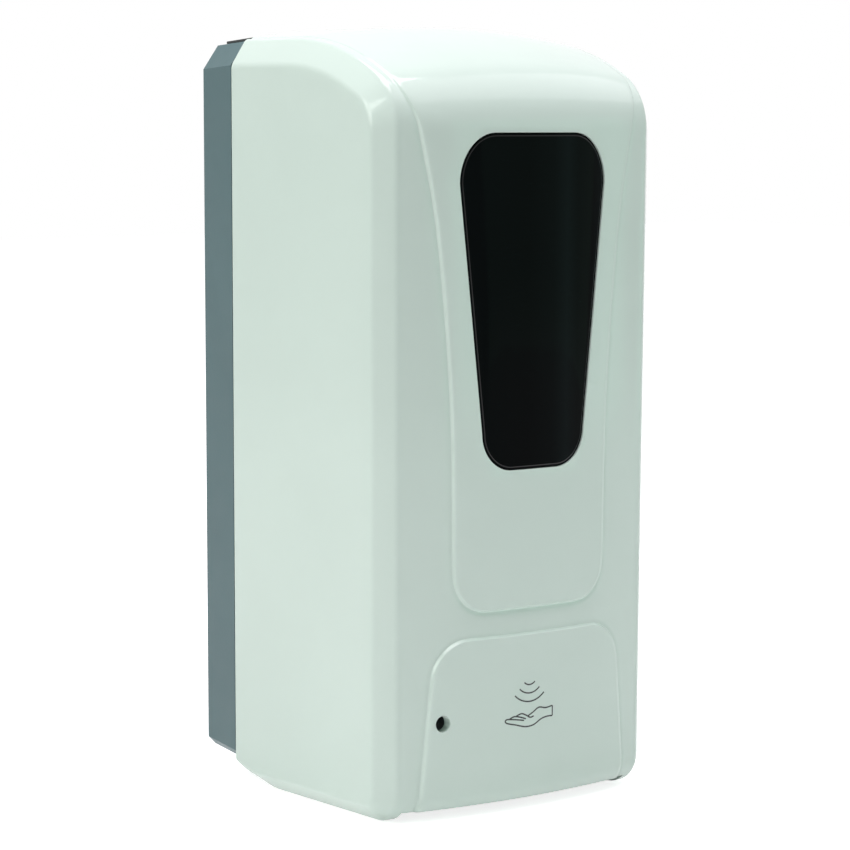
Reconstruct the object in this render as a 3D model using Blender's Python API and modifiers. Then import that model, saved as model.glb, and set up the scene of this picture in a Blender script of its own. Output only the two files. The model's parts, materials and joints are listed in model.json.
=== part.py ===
"""Wall-mounted automatic gel dispenser with a hinged cover, a reservoir and a small hose pump.

Metres, +Z up. The wall is the plane Y = 0, the front faces -Y, and the origin is the centre of the
base's flat back face.
"""

import math

import bmesh
import bpy
from mathutils import Matrix, Vector

# Fits and cuts shared by all pieces
FIT_GAP = 0.0003
RUN_GAP = 0.0005
OVERRUN = 0.001
SINK = 0.0006
WELD_DISTANCE = 0.000003

# Steps of round and curved shapes
ROUND_SIDES = 24
SMALL_SIDES = 12
SHARP_ANGLE_DEG = 35.0
SHOULDER_STEPS = 4
BROW_STEPS = 5
CHIN_STEPS = 4
HEEL_STEPS = 4
SHEET_COLUMNS = 12
CORNER_SHARES = (0.012, 0.13, 0.45, 1.0)
SEAM_SHARE = 0.5
INNER_SHARES = (0.36, 0.7)
BAND_SHARES = (0.0, 0.5, 1.0)
BASE_TOP_SHARES = (0.0, 0.3, 0.55, 0.8, 1.0)
WINDOW_CORNER_STEPS = 6
INDICATOR_STEPS = 3
BEVEL_PROFILE_SHARE = 0.5

# Cover and base, overall
WIDTH = 0.125
SIDE_DRAFT = 0.0014
BASE_HEIGHT = 0.256
BASE_DEPTH = 0.0175
SEAM_GAP = 0.0004
COVER_DROP = 0.0115
SHELL_WALL = 0.0025
SKIN_OVERRUN = 0.0040
CUT_REACH = 0.0125

# Cover profile, seen from the side
SHOULDER_DROP = 0.0073
SHOULDER_FLAT = 0.0325
BROW_RADIUS = 0.01405
SHOULDER_SLOPE_DEG = 29.0
SIDE_DEPTH = 0.1003
CHIN_RADIUS = 0.0050
EDGE_WIDTH = 0.0063
EDGE_ROUND = 0.0022
TOP_EDGE_RISE = 0.0094
FRONT_EDGE_RISE = 0.0063
TOP_CROWN = 0.0041
FRONT_CROWN = 0.0060
HEEL_LENGTH = 0.0180
HEEL_RISE = 0.0067
HEEL_POWER = 1.8
HEEL_EDGE_SHARE = 0.75

# Raised panels of the cover
PANEL_RISE = 0.0008
PANEL_EDGE = 0.0006
PANEL_SPACING = 0.0103
CENTRE_PANEL_HALF = 0.0332
CENTRE_PANEL_CORNER = 0.0132
CENTRE_PANEL_MID_DROP = 0.1139
CENTRE_PANEL_MID_HALF = 0.0346
CENTRE_PANEL_HIGH_DROP = 0.0560
CENTRE_PANEL_HIGH_HALF = 0.0402
CENTRE_PANEL_NECK_DROP = 0.0240
CENTRE_PANEL_NECK_HALF = 0.0470
CENTRE_PANEL_TOP_DROP = 0.0076
CENTRE_PANEL_TOP_HALF = 0.0540
LOWER_PANEL_TOP = 0.0622
LOWER_PANEL_HALF = 0.0405
LOWER_PANEL_CORNER = 0.0126
LOWER_PANEL_FLARE = 0.0060

# Window
WINDOW_TOP_DROP = 0.0231
WINDOW_LENGTH = 0.1165
WINDOW_TOP_CORNER = 0.0173
WINDOW_HIGH_HALF = 0.0325
WINDOW_TOP_HALF = 0.0190
WINDOW_BOTTOM_CORNER = 0.0132
WINDOW_LOW_HALF = 0.0229
WINDOW_BOTTOM_HALF = 0.0100
LENS_THICKNESS = 0.0022
LENS_RECESS = 0.0003
FRAME_THICKNESS = 0.0020
FRAME_LAP = 0.0025
FRAME_GAP = 0.0005
FRAME_INSET = 0.0025

# Indicator hole and light
INDICATOR_X = -0.0380
INDICATOR_HEIGHT = 0.0343
INDICATOR_HOLE_RADIUS = 0.0029
INDICATOR_RADIUS = 0.0025
INDICATOR_LENGTH = 0.0060
INDICATOR_HOLDER_SIDE = 0.0080
INDICATOR_SETBACK = 0.0020

# Opening in the underside of the cover
UNDERSIDE_MARGIN = 0.0115
UNDERSIDE_SETBACK = 0.0043
UNDERSIDE_RISE = 0.0035

# Base tray
BASE_TOP_SLOPE = 0.0013
BASE_HEEL_SLOPE = 0.0023
BASE_TOP_CROWN = 0.0022
BASE_TOP_EDGE = 0.0086
BASE_BOTTOM_EDGE = 0.0030
KEYHOLE_HALF_SPACING = 0.0300
KEYHOLE_DROP = 0.0380
KEYHOLE_HEAD_RADIUS = 0.0046
KEYHOLE_SLOT_HALF = 0.0024
KEYHOLE_SLOT_LENGTH = 0.0100
LOWER_HOLE_INSET = 0.0073
LOWER_HOLE_LIFT = 0.0380

# Lock
LOCK_PLATE_INSET = 0.0035
LOCK_PLATE_THICKNESS = 0.0009
LOCK_PLATE_MARGIN = 0.0004
LOCK_OFFSET = 0.00025
LOCK_RADIUS = 0.0050
LOCK_HEAD_RADIUS = 0.0062
LOCK_BOSS_RADIUS = 0.0082
LOCK_BOSS_LENGTH = 0.0065
KEY_SLOT_LENGTH = 0.0060
KEY_SLOT_WIDTH = 0.0012
KEY_SLOT_DEPTH = 0.0030
CAM_THICKNESS = 0.0020
CAM_LENGTH = 0.0160
CAM_HALF_WIDTH = 0.0032
CAM_HUB_RADIUS = 0.0050
CAM_SCREW_RADIUS = 0.0015
CAM_SCREW_HEAD_RADIUS = 0.0026
CAM_SCREW_HEAD_HEIGHT = 0.0014
CAM_SCREW_LENGTH = 0.0060
CATCH_SETBACK = 0.0025
CATCH_THICKNESS = 0.0025
CATCH_LEFT = 0.0090
CATCH_RIGHT = 0.0160
CATCH_BAR = 0.0025
CATCH_CLEARANCE = 0.0014
CATCH_LEG = 0.0040

# Hinge
HINGE_SETBACK = 0.0065
HINGE_LIFT = 0.0077
PIN_RADIUS = 0.0015
PIN_HEAD_RADIUS = 0.0028
PIN_HEAD_THICKNESS = 0.0015
EAR_MARGIN = 0.0170
EAR_THICKNESS = 0.0050
EAR_RADIUS = 0.0050
EAR_ARM_HEIGHT = 0.0060
EAR_CLEARANCE = 0.0005
HINGE_BOSS_RADIUS = 0.0033
HINGE_BOSS_LENGTH = 0.0053
HINGE_BOSS_GAP = 0.0010
HINGE_RIB_HALF = 0.0025
HINGE_RIB_HEIGHT = 0.0054
PIN_REACH = 0.0040

# Chassis
CHASSIS_MARGIN = 0.0105
CHASSIS_THICKNESS = 0.0022
CHASSIS_HEADROOM = 0.0480
CHASSIS_FOOT_GAP = 0.0010
SHELF_THICKNESS = 0.0030
SHELF_SETBACK = 0.0020
SHELF_LIP_HEIGHT = 0.0045
SHELF_LIP_THICKNESS = 0.0015
CHASSIS_SCREW_INSET = 0.0040
CHASSIS_SCREW_DROP = 0.0080
CHASSIS_SCREW_LIFT = 0.0165
SCREW_RADIUS = 0.0017
SCREW_HEAD_RADIUS = 0.0036
SCREW_HEAD_HEIGHT = 0.0022
SCREW_HEAD_TOP_SHARE = 0.8
SCREW_SLOT_WIDTH = 0.0009
SCREW_SLOT_DEPTH = 0.0009

# Battery box, four upright C cells side by side
CELL_RADIUS = 0.0131
CELL_LENGTH = 0.0495
CELL_NUB_RADIUS = 0.0032
CELL_NUB_HEIGHT = 0.0015
CELL_GAP = 0.0008
CELL_SIDES = 16
BOX_WALL = 0.0018
BOX_MARGIN = 0.0065
SPRING_ROOM = 0.0040
SPRING_WIRE = 0.0004
SPRING_RADIUS = 0.0042
SPRING_TURNS = 3
SPRING_TURN_POINTS = 9
CONTACT_THICKNESS = 0.0006
CONTACT_OVERHANG = 0.0095
CONTACT_HALF_DEPTH = 0.0050
DOOR_THICKNESS = 0.0020
DOOR_MARGIN = 0.0010
DOOR_INSET = 0.0022
RAIL_LIP = 0.0015
RAIL_LAP = 0.0017
DOOR_GRIP_WIDTH = 0.0300
DOOR_GRIP_DEPTH = 0.0008
DOOR_GRIP_HEIGHT = 0.0040
DOOR_GRIP_COUNT = 3

# Reservoir bottle
BOTTLE_MARGIN = 0.0110
BOTTLE_GAP = 0.0010
BOTTLE_FRONT_REACH = 0.0007
BOTTLE_HEADROOM = 0.0327
BOTTLE_FRONT_DROP = 0.0120
BOTTLE_SLOPE_LENGTH = 0.0220
BOTTLE_ROUND = 0.0080
BOTTLE_ROUND_STEPS = 3
BOTTLE_WALL = 0.0015
NECK_RADIUS = 0.0150
NECK_HEIGHT = 0.0060
NECK_SETBACK = 0.0228
CAP_RADIUS = 0.0180
CAP_WALL = 0.0018
CAP_GRIP_DEPTH = 0.0008
CAP_GRIP_COUNT = 18
CAP_SEAL_THICKNESS = 0.0012
SPOUT_RADIUS = 0.0060
SPOUT_BORE = 0.0022
SPOUT_LENGTH = 0.0062
SEAL_WIRE = 0.0010
SEAL_SIDES = 8
SEAL_TURNS = 16
SEAL_START_DEG = 90.0

# Mechanism case below the shelf
CASE_HALF = 0.0440
CASE_SETBACK = 0.0280
CASE_LIFT = 0.0020
CASE_WALL = 0.0020
CASE_BOSS_RADIUS = 0.0032
CASE_BOSS_INSET = 0.0052
CASE_BOSS_LENGTH = 0.0112
CASE_SCREW_RADIUS = 0.0013
CASE_SCREW_HEAD_RADIUS = 0.0027
CASE_SCREW_LENGTH = 0.0100
LEAD_SLOT_BACK = 0.0230
LEAD_SLOT_LENGTH = 0.0140
LEAD_SLOT_DROP = 0.0062
LEAD_SLOT_HEIGHT = 0.0060

# Hose pump
PUMP_X = 0.0180
PUMP_FOOT = 0.0040
INLET_RUN = 0.0003
TUBE_RADIUS = 0.0030
LOOP_RADIUS = 0.0170
TUBE_BEND = 0.0120
NOZZLE_X = 0.0
INLET_X = -0.0180
PUMP_DEPTH = 0.0160
PUMP_FLOOR = 0.0016
TRACK_WALL = 0.0028
PUMP_COVER_THICKNESS = 0.0018
ROTOR_DISC_RADIUS = 0.0125
ROTOR_DISC_THICKNESS = 0.0018
ROTOR_HUB_RADIUS = 0.0040
ROLLER_RADIUS = 0.0045
ROLLER_PIN_RADIUS = 0.0015
ROLLER_COUNT = 3
SHAFT_RADIUS = 0.0020
SHAFT_HOLE_CLEARANCE = 0.0005
HOLDER_HALF = 0.0070
OUTLET_LENGTH = 0.0032
BEND_STEPS = 4
LOOP_STEPS = 14
HOSE_RESOLUTION = 2
TUBE_WALL = 0.0010
ROLLER_SIDES = 18
NOZZLE_RADIUS = 0.0052
NOZZLE_FLANGE = 0.0025
NOZZLE_TIP_RADIUS = 0.0032
NOZZLE_BORE = 0.0016
NOZZLE_LENGTH = 0.0130

# Gear train, all wheels of one module
MODULE = 0.00075
PUMP_TEETH = 48
IDLER_SMALL_TEETH = 14
IDLER_LARGE_TEETH = 40
PINION_TEETH = 12
GEAR_WIDTH = 0.0040
GEAR_SPACE = 0.0010
AXLE_RADIUS = 0.0015
TOOTH_ROOT_SHARE = 0.52
TOOTH_TIP_SHARE = 0.18
ADDENDUM_SHARE = 0.95
DEDENDUM_SHARE = 1.25

# Motor
MOTOR_RADIUS = 0.0100
MOTOR_LENGTH = 0.0310
MOTOR_NOSE_RADIUS = 0.0040
MOTOR_NOSE_LENGTH = 0.0015
MOTOR_SHAFT_RADIUS = 0.0010
LEAD_RADIUS = 0.0007
LEAD_SPREAD = 0.0035
BRACKET_HALF = 0.0125
BRACKET_THICKNESS = 0.0012

# Circuit board and what it carries
BOARD_HEIGHT = 0.0055
BOARD_THICKNESS = 0.0016
BOARD_MARGIN = 0.0020
BOARD_POST_SIDE = 0.0040
BOARD_POST_INSET = 0.0030
BOARD_POST_FRONT_X = 0.0035
BOARD_POST_BACK_X = 0.0250
SENSOR_X = 0.0090
SENSOR_SETBACK = 0.0170
SENSOR_RADIUS = 0.0025
SENSOR_LENGTH = 0.0052
SENSOR_WINDOW_HALF = 0.0165
SENSOR_WINDOW_HALF_DEPTH = 0.0080
SENSOR_WINDOW_THICKNESS = 0.0015
SENSOR_HOLE_CLEARANCE = 0.0007
SWITCH_INSET = 0.0120
SWITCH_SETBACK = 0.0170
SWITCH_HALF_LENGTH = 0.0065
SWITCH_HALF_WIDTH = 0.0034
SWITCH_HEIGHT = 0.0075
SWITCH_TRAVEL = 0.0030
SLIDER_HALF_LENGTH = 0.0018
SLIDER_HALF_WIDTH = 0.0015
SLIDER_HEIGHT = 0.0040
SLIDER_SINK = 0.0020
DOME_SHARE = 0.7
JACK_INSET = 0.0110
JACK_SETBACK = 0.0170
JACK_HALF_SIDE = 0.0050
JACK_HEIGHT = 0.0090
JACK_BORE = 0.0031
JACK_PIN = 0.0010
JACK_BORE_DEPTH = 0.0075

# Places worked out from the sizes above
HALF_WIDTH = WIDTH / 2
BASE_TOP = BASE_HEIGHT / 2
BASE_BOTTOM = -BASE_HEIGHT / 2
COVER_BOTTOM = BASE_BOTTOM - COVER_DROP
COVER_REAR = -BASE_DEPTH - SEAM_GAP
SKIN_REAR = COVER_REAR + SKIN_OVERRUN
SHOULDER_Z = BASE_TOP - SHOULDER_DROP
SHOULDER_HEIGHT = SHOULDER_Z - COVER_BOTTOM
CENTRE_PANEL_BOTTOM = LOWER_PANEL_TOP + PANEL_SPACING
CENTRE_PANEL_MID_HEIGHT = SHOULDER_HEIGHT - CENTRE_PANEL_MID_DROP
CENTRE_PANEL_HIGH_HEIGHT = SHOULDER_HEIGHT - CENTRE_PANEL_HIGH_DROP
CENTRE_PANEL_NECK_HEIGHT = SHOULDER_HEIGHT - CENTRE_PANEL_NECK_DROP
CENTRE_PANEL_TOP_HEIGHT = SHOULDER_HEIGHT - CENTRE_PANEL_TOP_DROP
WINDOW_TOP = SHOULDER_HEIGHT - WINDOW_TOP_DROP
WINDOW_HIGH = WINDOW_TOP - WINDOW_TOP_CORNER
WINDOW_BOTTOM = WINDOW_TOP - WINDOW_LENGTH
WINDOW_LOW = WINDOW_BOTTOM + WINDOW_BOTTOM_CORNER
SIDE_BOTTOM_Z = COVER_BOTTOM + FRONT_EDGE_RISE
FRONT_Y = -(SIDE_DEPTH + FRONT_EDGE_RISE + FRONT_CROWN + PANEL_RISE)
CROWN_Z = SHOULDER_Z + TOP_EDGE_RISE + TOP_CROWN
UNDERSIDE_HALF = HALF_WIDTH - UNDERSIDE_MARGIN
UNDERSIDE_FRONT = SIDE_DEPTH - UNDERSIDE_SETBACK
KEYHOLE_HEIGHT = BASE_TOP - KEYHOLE_DROP
LOWER_HOLE_HALF_SPACING = HALF_WIDTH - LOWER_HOLE_INSET
LOWER_HOLE_HEIGHT = BASE_BOTTOM + LOWER_HOLE_LIFT
LOCK_PLATE_HALF = HALF_WIDTH - EDGE_WIDTH - LOCK_PLATE_INSET
LOCK_SETBACK = BASE_DEPTH / 2 + LOCK_OFFSET
CATCH_BACK = BASE_DEPTH + CATCH_SETBACK
CATCH_SPAN = CAM_THICKNESS + 2 * CATCH_CLEARANCE
HINGE_Y = -BASE_DEPTH - HINGE_SETBACK
HINGE_Z = COVER_BOTTOM + HINGE_LIFT
EAR_INNER = HALF_WIDTH - EAR_MARGIN
EAR_FOOT = BASE_BOTTOM + SHELL_WALL + FIT_GAP
EAR_ARM_TOP = EAR_FOOT + EAR_ARM_HEIGHT
CHASSIS_HALF = HALF_WIDTH - CHASSIS_MARGIN
CHASSIS_TOP = BASE_TOP - CHASSIS_HEADROOM
CHASSIS_BOTTOM = BASE_BOTTOM + SHELL_WALL + CHASSIS_FOOT_GAP
CHASSIS_SCREW_X = CHASSIS_HALF - CHASSIS_SCREW_INSET
CHASSIS_SCREW_HIGH = CHASSIS_TOP - CHASSIS_SCREW_DROP
CHASSIS_SCREW_LOW = CHASSIS_BOTTOM + CHASSIS_SCREW_LIFT
CASE_BOTTOM = BASE_BOTTOM + CASE_LIFT
PUMP_Z = CASE_BOTTOM + PUMP_FOOT + TUBE_BEND + LOOP_RADIUS
BOTTLE_BOTTOM = PUMP_Z + LOOP_RADIUS + TUBE_BEND + INLET_RUN + FIT_GAP + SPOUT_LENGTH
BOTTLE_TOP = SHOULDER_Z - BOTTLE_HEADROOM
BOTTLE_HALF = HALF_WIDTH - BOTTLE_MARGIN
BOTTLE_FRONT = SIDE_DEPTH + BOTTLE_FRONT_REACH
SHELF_TOP = BOTTLE_BOTTOM - FIT_GAP
SHELF_DEPTH = BOTTLE_FRONT - SHELF_SETBACK
CASE_FRONT = BOTTLE_FRONT - CASE_SETBACK
PUMP_PLANE_BACK = -(CASE_FRONT + CASE_WALL + FIT_GAP)
PUMP_PLANE_FRONT = PUMP_PLANE_BACK - PUMP_DEPTH
TUBE_Y = PUMP_PLANE_BACK - (PUMP_FLOOR + PUMP_DEPTH) / 2
CASE_TOP = SHELF_TOP - SHELF_THICKNESS - FIT_GAP
CASE_BACK = SHELL_WALL + FIT_GAP + CHASSIS_THICKNESS + FIT_GAP
CELL_PITCH = 2 * CELL_RADIUS + CELL_GAP
CELL_COUNT = int(2 * (HALF_WIDTH - BOX_MARGIN - BOX_WALL) / CELL_PITCH)
BOX_HALF = CELL_PITCH * CELL_COUNT / 2 + BOX_WALL
DOOR_HALF = BOX_HALF - DOOR_INSET
RAIL_INNER = DOOR_HALF - RAIL_LAP
BOX_BACK = -(SHELL_WALL + FIT_GAP + CHASSIS_THICKNESS + FIT_GAP)
CELL_Y = BOX_BACK - BOX_WALL - FIT_GAP - CELL_RADIUS
BOX_FRONT = CELL_Y - CELL_RADIUS - FIT_GAP
BOX_FLOOR = SHELF_TOP + FIT_GAP
BOX_ROOM = CELL_LENGTH + CELL_NUB_HEIGHT + SPRING_ROOM + 2 * CONTACT_THICKNESS + 3 * FIT_GAP
BOX_TOP = BOX_FLOOR + BOX_WALL + BOX_ROOM + BOX_WALL
DOOR_FRONT = BOX_FRONT - FIT_GAP - DOOR_THICKNESS
BOTTLE_BACK = DOOR_FRONT - BOTTLE_GAP
NECK_Y = BOTTLE_BACK - NECK_SETBACK
BOARD_Z = CASE_BOTTOM + CASE_WALL + BOARD_HEIGHT
MOTOR_FRONT = -(CASE_FRONT - 2 * GEAR_WIDTH - 4 * GEAR_SPACE)
PUMP_GEAR_BACK = -(CASE_FRONT - GEAR_SPACE - GEAR_WIDTH)
SENSOR_Y = -CASE_FRONT + SENSOR_SETBACK
SWITCH_X = CASE_HALF - SWITCH_INSET
SWITCH_Y = -CASE_FRONT + SWITCH_SETBACK
JACK_X = JACK_INSET - CASE_HALF
JACK_Y = -CASE_FRONT + JACK_SETBACK
LARGE_GEAR_BACK = PUMP_GEAR_BACK + GEAR_SPACE + GEAR_WIDTH
IDLER_X = PUMP_X - MODULE * (PUMP_TEETH + IDLER_SMALL_TEETH) / 2
MOTOR_X = IDLER_X - MODULE * (IDLER_LARGE_TEETH + PINION_TEETH) / 2


def start_scene():
    """Empty scene with one collection for the pieces and one for the cutters."""
    for thing in list(bpy.data.objects):
        bpy.data.objects.remove(thing, do_unlink=True)
    pieces = bpy.data.collections.new("gel_dispenser")
    helpers = bpy.data.collections.new("cutters")
    for group in (pieces, helpers):
        bpy.context.scene.collection.children.link(group)
    return pieces, helpers


PIECES, HELPERS = start_scene()


def finish(name, color, roughness, metallic=0.0, alpha=1.0):
    """Principled material of one piece."""
    material = bpy.data.materials.new(name)
    material.use_nodes = True
    shader = material.node_tree.nodes["Principled BSDF"]
    shader.inputs["Base Color"].default_value = (*color, 1.0)
    shader.inputs["Roughness"].default_value = roughness
    shader.inputs["Metallic"].default_value = metallic
    shader.inputs["Alpha"].default_value = alpha
    material.diffuse_color = (*color, alpha)
    return material


WHITE_GLOSS = ("white_gloss", (0.80, 0.83, 0.81), 0.22)
GREY_SATIN = ("grey_satin", (0.22, 0.29, 0.29), 0.42)
BLACK_GLOSS = ("black_gloss", (0.01, 0.012, 0.014), 0.08)
BLACK_SATIN = ("black_satin", (0.03, 0.035, 0.035), 0.45)
CHASSIS_GREY = ("chassis_grey", (0.50, 0.52, 0.53), 0.50)
CASE_GREY = ("case_grey", (0.30, 0.32, 0.33), 0.50)
CLEAR = ("clear_plastic", (0.80, 0.86, 0.88), 0.12)
SILICONE = ("silicone", (0.78, 0.80, 0.80), 0.35)
STEEL = ("steel", (0.60, 0.61, 0.62), 0.30, 1.0)
BRASS = ("brass", (0.72, 0.55, 0.28), 0.30, 1.0)
GEAR_WHITE = ("gear_white", (0.85, 0.84, 0.78), 0.40)
BOARD_GREEN = ("board_green", (0.02, 0.20, 0.09), 0.40)
CELL_JACKET = ("cell_jacket", (0.05, 0.16, 0.30), 0.30)
LEAD_RED = ("lead_red", (0.55, 0.03, 0.03), 0.45)
LEAD_BLACK = ("lead_black", (0.02, 0.02, 0.02), 0.45)
RUBBER = ("rubber", (0.04, 0.04, 0.04), 0.80)


def add_piece(name, mesh, look, helper=False):
    """Object in the scene, as a piece or as a hidden helper."""
    thing = bpy.data.objects.new(name, mesh)
    if helper:
        HELPERS.objects.link(thing)
        thing.hide_render = True
        thing.display_type = "WIRE"
        return thing
    PIECES.objects.link(thing)
    mesh.materials.clear()
    mesh.materials.append(finish(name, *look[1:]))
    mesh.shade_smooth()
    mesh.set_sharp_from_angle(angle=math.radians(SHARP_ANGLE_DEG))
    return thing


def mesh_from(shape, name, is_closed=True):
    """Mesh data from a bmesh, which is freed. An open surface keeps the normals it was built with."""
    mesh = bpy.data.meshes.new(name)
    if is_closed:
        bmesh.ops.recalc_face_normals(shape, faces=shape.faces)
    shape.to_mesh(mesh)
    shape.free()
    return mesh


def box(low, high):
    """Block between two corners."""
    shape = bmesh.new()
    low, high = Vector(low), Vector(high)
    size = Matrix.Diagonal((*(high - low), 1.0))
    bmesh.ops.create_cube(shape, size=1.0, matrix=Matrix.Translation((low + high) / 2) @ size)
    return mesh_from(shape, "box")


def turn_to(axis):
    """Matrix that turns the Z axis to the named axis."""
    quarter = math.pi / 2
    if axis == "X":
        return Matrix.Rotation(quarter, 4, "Y")
    if axis == "Y":
        return Matrix.Rotation(-quarter, 4, "X")
    return Matrix.Identity(4)


def rod(radius, start, length, axis, sides=ROUND_SIDES, end_radius=None):
    """Cylinder or cone that starts at a point and runs along +axis."""
    shape = bmesh.new()
    bmesh.ops.create_cone(
        shape,
        cap_ends=True,
        segments=sides,
        radius1=radius,
        radius2=radius if end_radius is None else end_radius,
        depth=length,
        matrix=Matrix.Translation(Vector(start)) @ turn_to(axis) @ Matrix.Translation((0, 0, length / 2)),
    )
    return mesh_from(shape, "rod")


def prism(outline, start, end, axis="Y"):
    """Flat outline pulled along an axis: (x, z) along Y, (x, y) along Z or (y, z) along X."""
    curve = bpy.data.curves.new("outline", "CURVE")
    curve.dimensions = "2D"
    curve.fill_mode = "BOTH"
    curve.extrude = abs(end - start) / 2
    spline = curve.splines.new("POLY")
    spline.points.add(len(outline) - 1)
    for point, (a, b) in zip(spline.points, outline):
        point.co = (a, b, 0.0, 1.0)
    spline.use_cyclic_u = True
    holder = bpy.data.objects.new("outline", curve)
    HELPERS.objects.link(holder)
    graph = bpy.context.evaluated_depsgraph_get()
    mesh = bpy.data.meshes.new_from_object(holder.evaluated_get(graph))
    bpy.data.objects.remove(holder, do_unlink=True)
    shape = bmesh.new()
    shape.from_mesh(mesh)
    bmesh.ops.remove_doubles(shape, verts=shape.verts, dist=WELD_DISTANCE)
    middle = (start + end) / 2
    upright = Matrix.Rotation(math.pi / 2, 4, "X")
    if axis == "Y":
        place = Matrix.Translation((0, middle, 0)) @ upright
    elif axis == "X":
        place = Matrix.Translation((middle, 0, 0)) @ Matrix.Rotation(math.pi / 2, 4, "Z") @ upright
    else:
        place = Matrix.Translation((0, 0, middle))
    bmesh.ops.transform(shape, matrix=place, verts=shape.verts)
    return mesh_from(shape, "prism")


def tube(points, radius, resolution=2, is_closed=True):
    """Round bar along a smooth line of points, as a welded mesh, with open ends if asked."""
    curve = bpy.data.curves.new("line", "CURVE")
    curve.dimensions = "3D"
    curve.bevel_depth = radius
    curve.bevel_resolution = resolution
    curve.use_fill_caps = is_closed
    spline = curve.splines.new("POLY")
    spline.points.add(len(points) - 1)
    for point, place in zip(spline.points, points):
        point.co = (*place, 1.0)
    holder = bpy.data.objects.new("line", curve)
    HELPERS.objects.link(holder)
    graph = bpy.context.evaluated_depsgraph_get()
    mesh = bpy.data.meshes.new_from_object(holder.evaluated_get(graph))
    bpy.data.objects.remove(holder, do_unlink=True)
    shape = bmesh.new()
    shape.from_mesh(mesh)
    bmesh.ops.remove_doubles(shape, verts=shape.verts, dist=WELD_DISTANCE / 10)
    return mesh_from(shape, "tube", is_closed)


def turned(profile, place=(0, 0, 0), axis="Z", sides=ROUND_SIDES):
    """Turned shape from (radius, height) points that run down the outer side, made by a Screw."""
    mesh = bpy.data.meshes.new("profile")
    count = len(profile)
    edges = [(i, i + 1) for i in range(count - 1)]
    if profile[0][0] > 0.0:
        edges.append((count - 1, 0))
    mesh.from_pydata([(radius, 0.0, height) for radius, height in profile], edges, [])
    holder = bpy.data.objects.new("profile", mesh)
    HELPERS.objects.link(holder)
    screw = holder.modifiers.new("turn", "SCREW")
    screw.steps = sides
    screw.render_steps = sides
    screw.use_merge_vertices = True
    screw.merge_threshold = WELD_DISTANCE
    graph = bpy.context.evaluated_depsgraph_get()
    result = bpy.data.meshes.new_from_object(holder.evaluated_get(graph))
    bpy.data.objects.remove(holder, do_unlink=True)
    shape = bmesh.new()
    shape.from_mesh(result)
    bmesh.ops.remove_doubles(shape, verts=shape.verts, dist=WELD_DISTANCE)
    bmesh.ops.transform(shape, matrix=Matrix.Translation(place) @ turn_to(axis), verts=shape.verts)
    return mesh_from(shape, "turned")


def thicken(piece, thickness):
    """Wall added to the inner side of an open surface, in triangles so that cuts stay clean."""
    wall = piece.modifiers.new("wall", "SOLIDIFY")
    wall.thickness = thickness
    wall.offset = -1.0
    wall.use_even_offset = True
    wall.use_rim = True
    piece.modifiers.new("triangles", "TRIANGULATE")


def combine(piece, operation, *meshes):
    """Boolean modifiers on a piece, one for each helper mesh."""
    for index, mesh in enumerate(meshes):
        helper = add_piece(f"{piece.name}_{operation.lower()}_{len(piece.modifiers)}", mesh, None, True)
        change = piece.modifiers.new(f"{operation.lower()}_{index}", "BOOLEAN")
        change.operation = operation
        change.object = helper
    return piece


def join(piece, *meshes):
    return combine(piece, "UNION", *meshes)


def cut(piece, *meshes):
    return combine(piece, "DIFFERENCE", *meshes)


def set_origin(piece, place):
    """Origin of a moving piece put on its joint's axis, with its shape left where it is."""
    piece.data.transform(Matrix.Translation(-Vector(place)))
    piece.location = place


def arc(center, radii, start_deg, end_deg, steps):
    """Points of an elliptical arc in a plane, ends included."""
    points = []
    for step in range(steps + 1):
        angle = math.radians(start_deg + (end_deg - start_deg) * step / steps)
        points.append((center[0] + radii[0] * math.cos(angle), center[1] + radii[1] * math.sin(angle)))
    return points


def mirrored(points):
    """Closed outline from its right half, which runs from the middle round to the middle."""
    return points + [(-x, z) for x, z in reversed(points)]


# Cover skin: a grid whose rows follow the side profile and whose columns follow the panels


def smooth_between(knots, value):
    """Smooth curve through (place, size) knots, read at one place."""
    if value <= knots[0][0]:
        return knots[0][1]
    for i in range(len(knots) - 1):
        (a, low), (b, high) = knots[i], knots[i + 1]
        if value <= b:
            before = knots[max(i - 1, 0)]
            after = knots[min(i + 2, len(knots) - 1)]
            t = (value - a) / (b - a)
            slope_a = (high - before[1]) / (b - before[0]) * (b - a)
            slope_b = (after[1] - low) / (after[0] - a) * (b - a)
            t2, t3 = t * t, t * t * t
            return (
                (2 * t3 - 3 * t2 + 1) * low
                + (t3 - 2 * t2 + t) * slope_a
                + (3 * t2 - 2 * t3) * high
                + (t3 - t2) * slope_b
            )
    return knots[-1][1]


def centre_panel_half(height):
    """Half width of the centre panel at a height above the cover's bottom edge."""
    corner = CENTRE_PANEL_CORNER
    if height < CENTRE_PANEL_BOTTOM + corner:
        drop = max(0.0, CENTRE_PANEL_BOTTOM + corner - height) / corner
        return CENTRE_PANEL_HALF - corner * (1 - math.sqrt(max(0.0, 1 - min(1.0, drop) ** 2)))
    knots = [
        (CENTRE_PANEL_BOTTOM + corner, CENTRE_PANEL_HALF),
        (CENTRE_PANEL_MID_HEIGHT, CENTRE_PANEL_MID_HALF),
        (CENTRE_PANEL_HIGH_HEIGHT, CENTRE_PANEL_HIGH_HALF),
        (CENTRE_PANEL_NECK_HEIGHT, CENTRE_PANEL_NECK_HALF),
        (CENTRE_PANEL_TOP_HEIGHT, CENTRE_PANEL_TOP_HALF),
    ]
    return smooth_between(knots, height)


def lower_panel_half(height):
    """Half width of the lower panel at a height above the cover's bottom edge."""
    corner = LOWER_PANEL_CORNER
    flare = LOWER_PANEL_FLARE * (LOWER_PANEL_TOP - height) / LOWER_PANEL_TOP
    rise = min(1.0, max(0.0, height - (LOWER_PANEL_TOP - corner)) / corner)
    return LOWER_PANEL_HALF + flare - corner * (1 - math.sqrt(1 - rise * rise))


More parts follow.
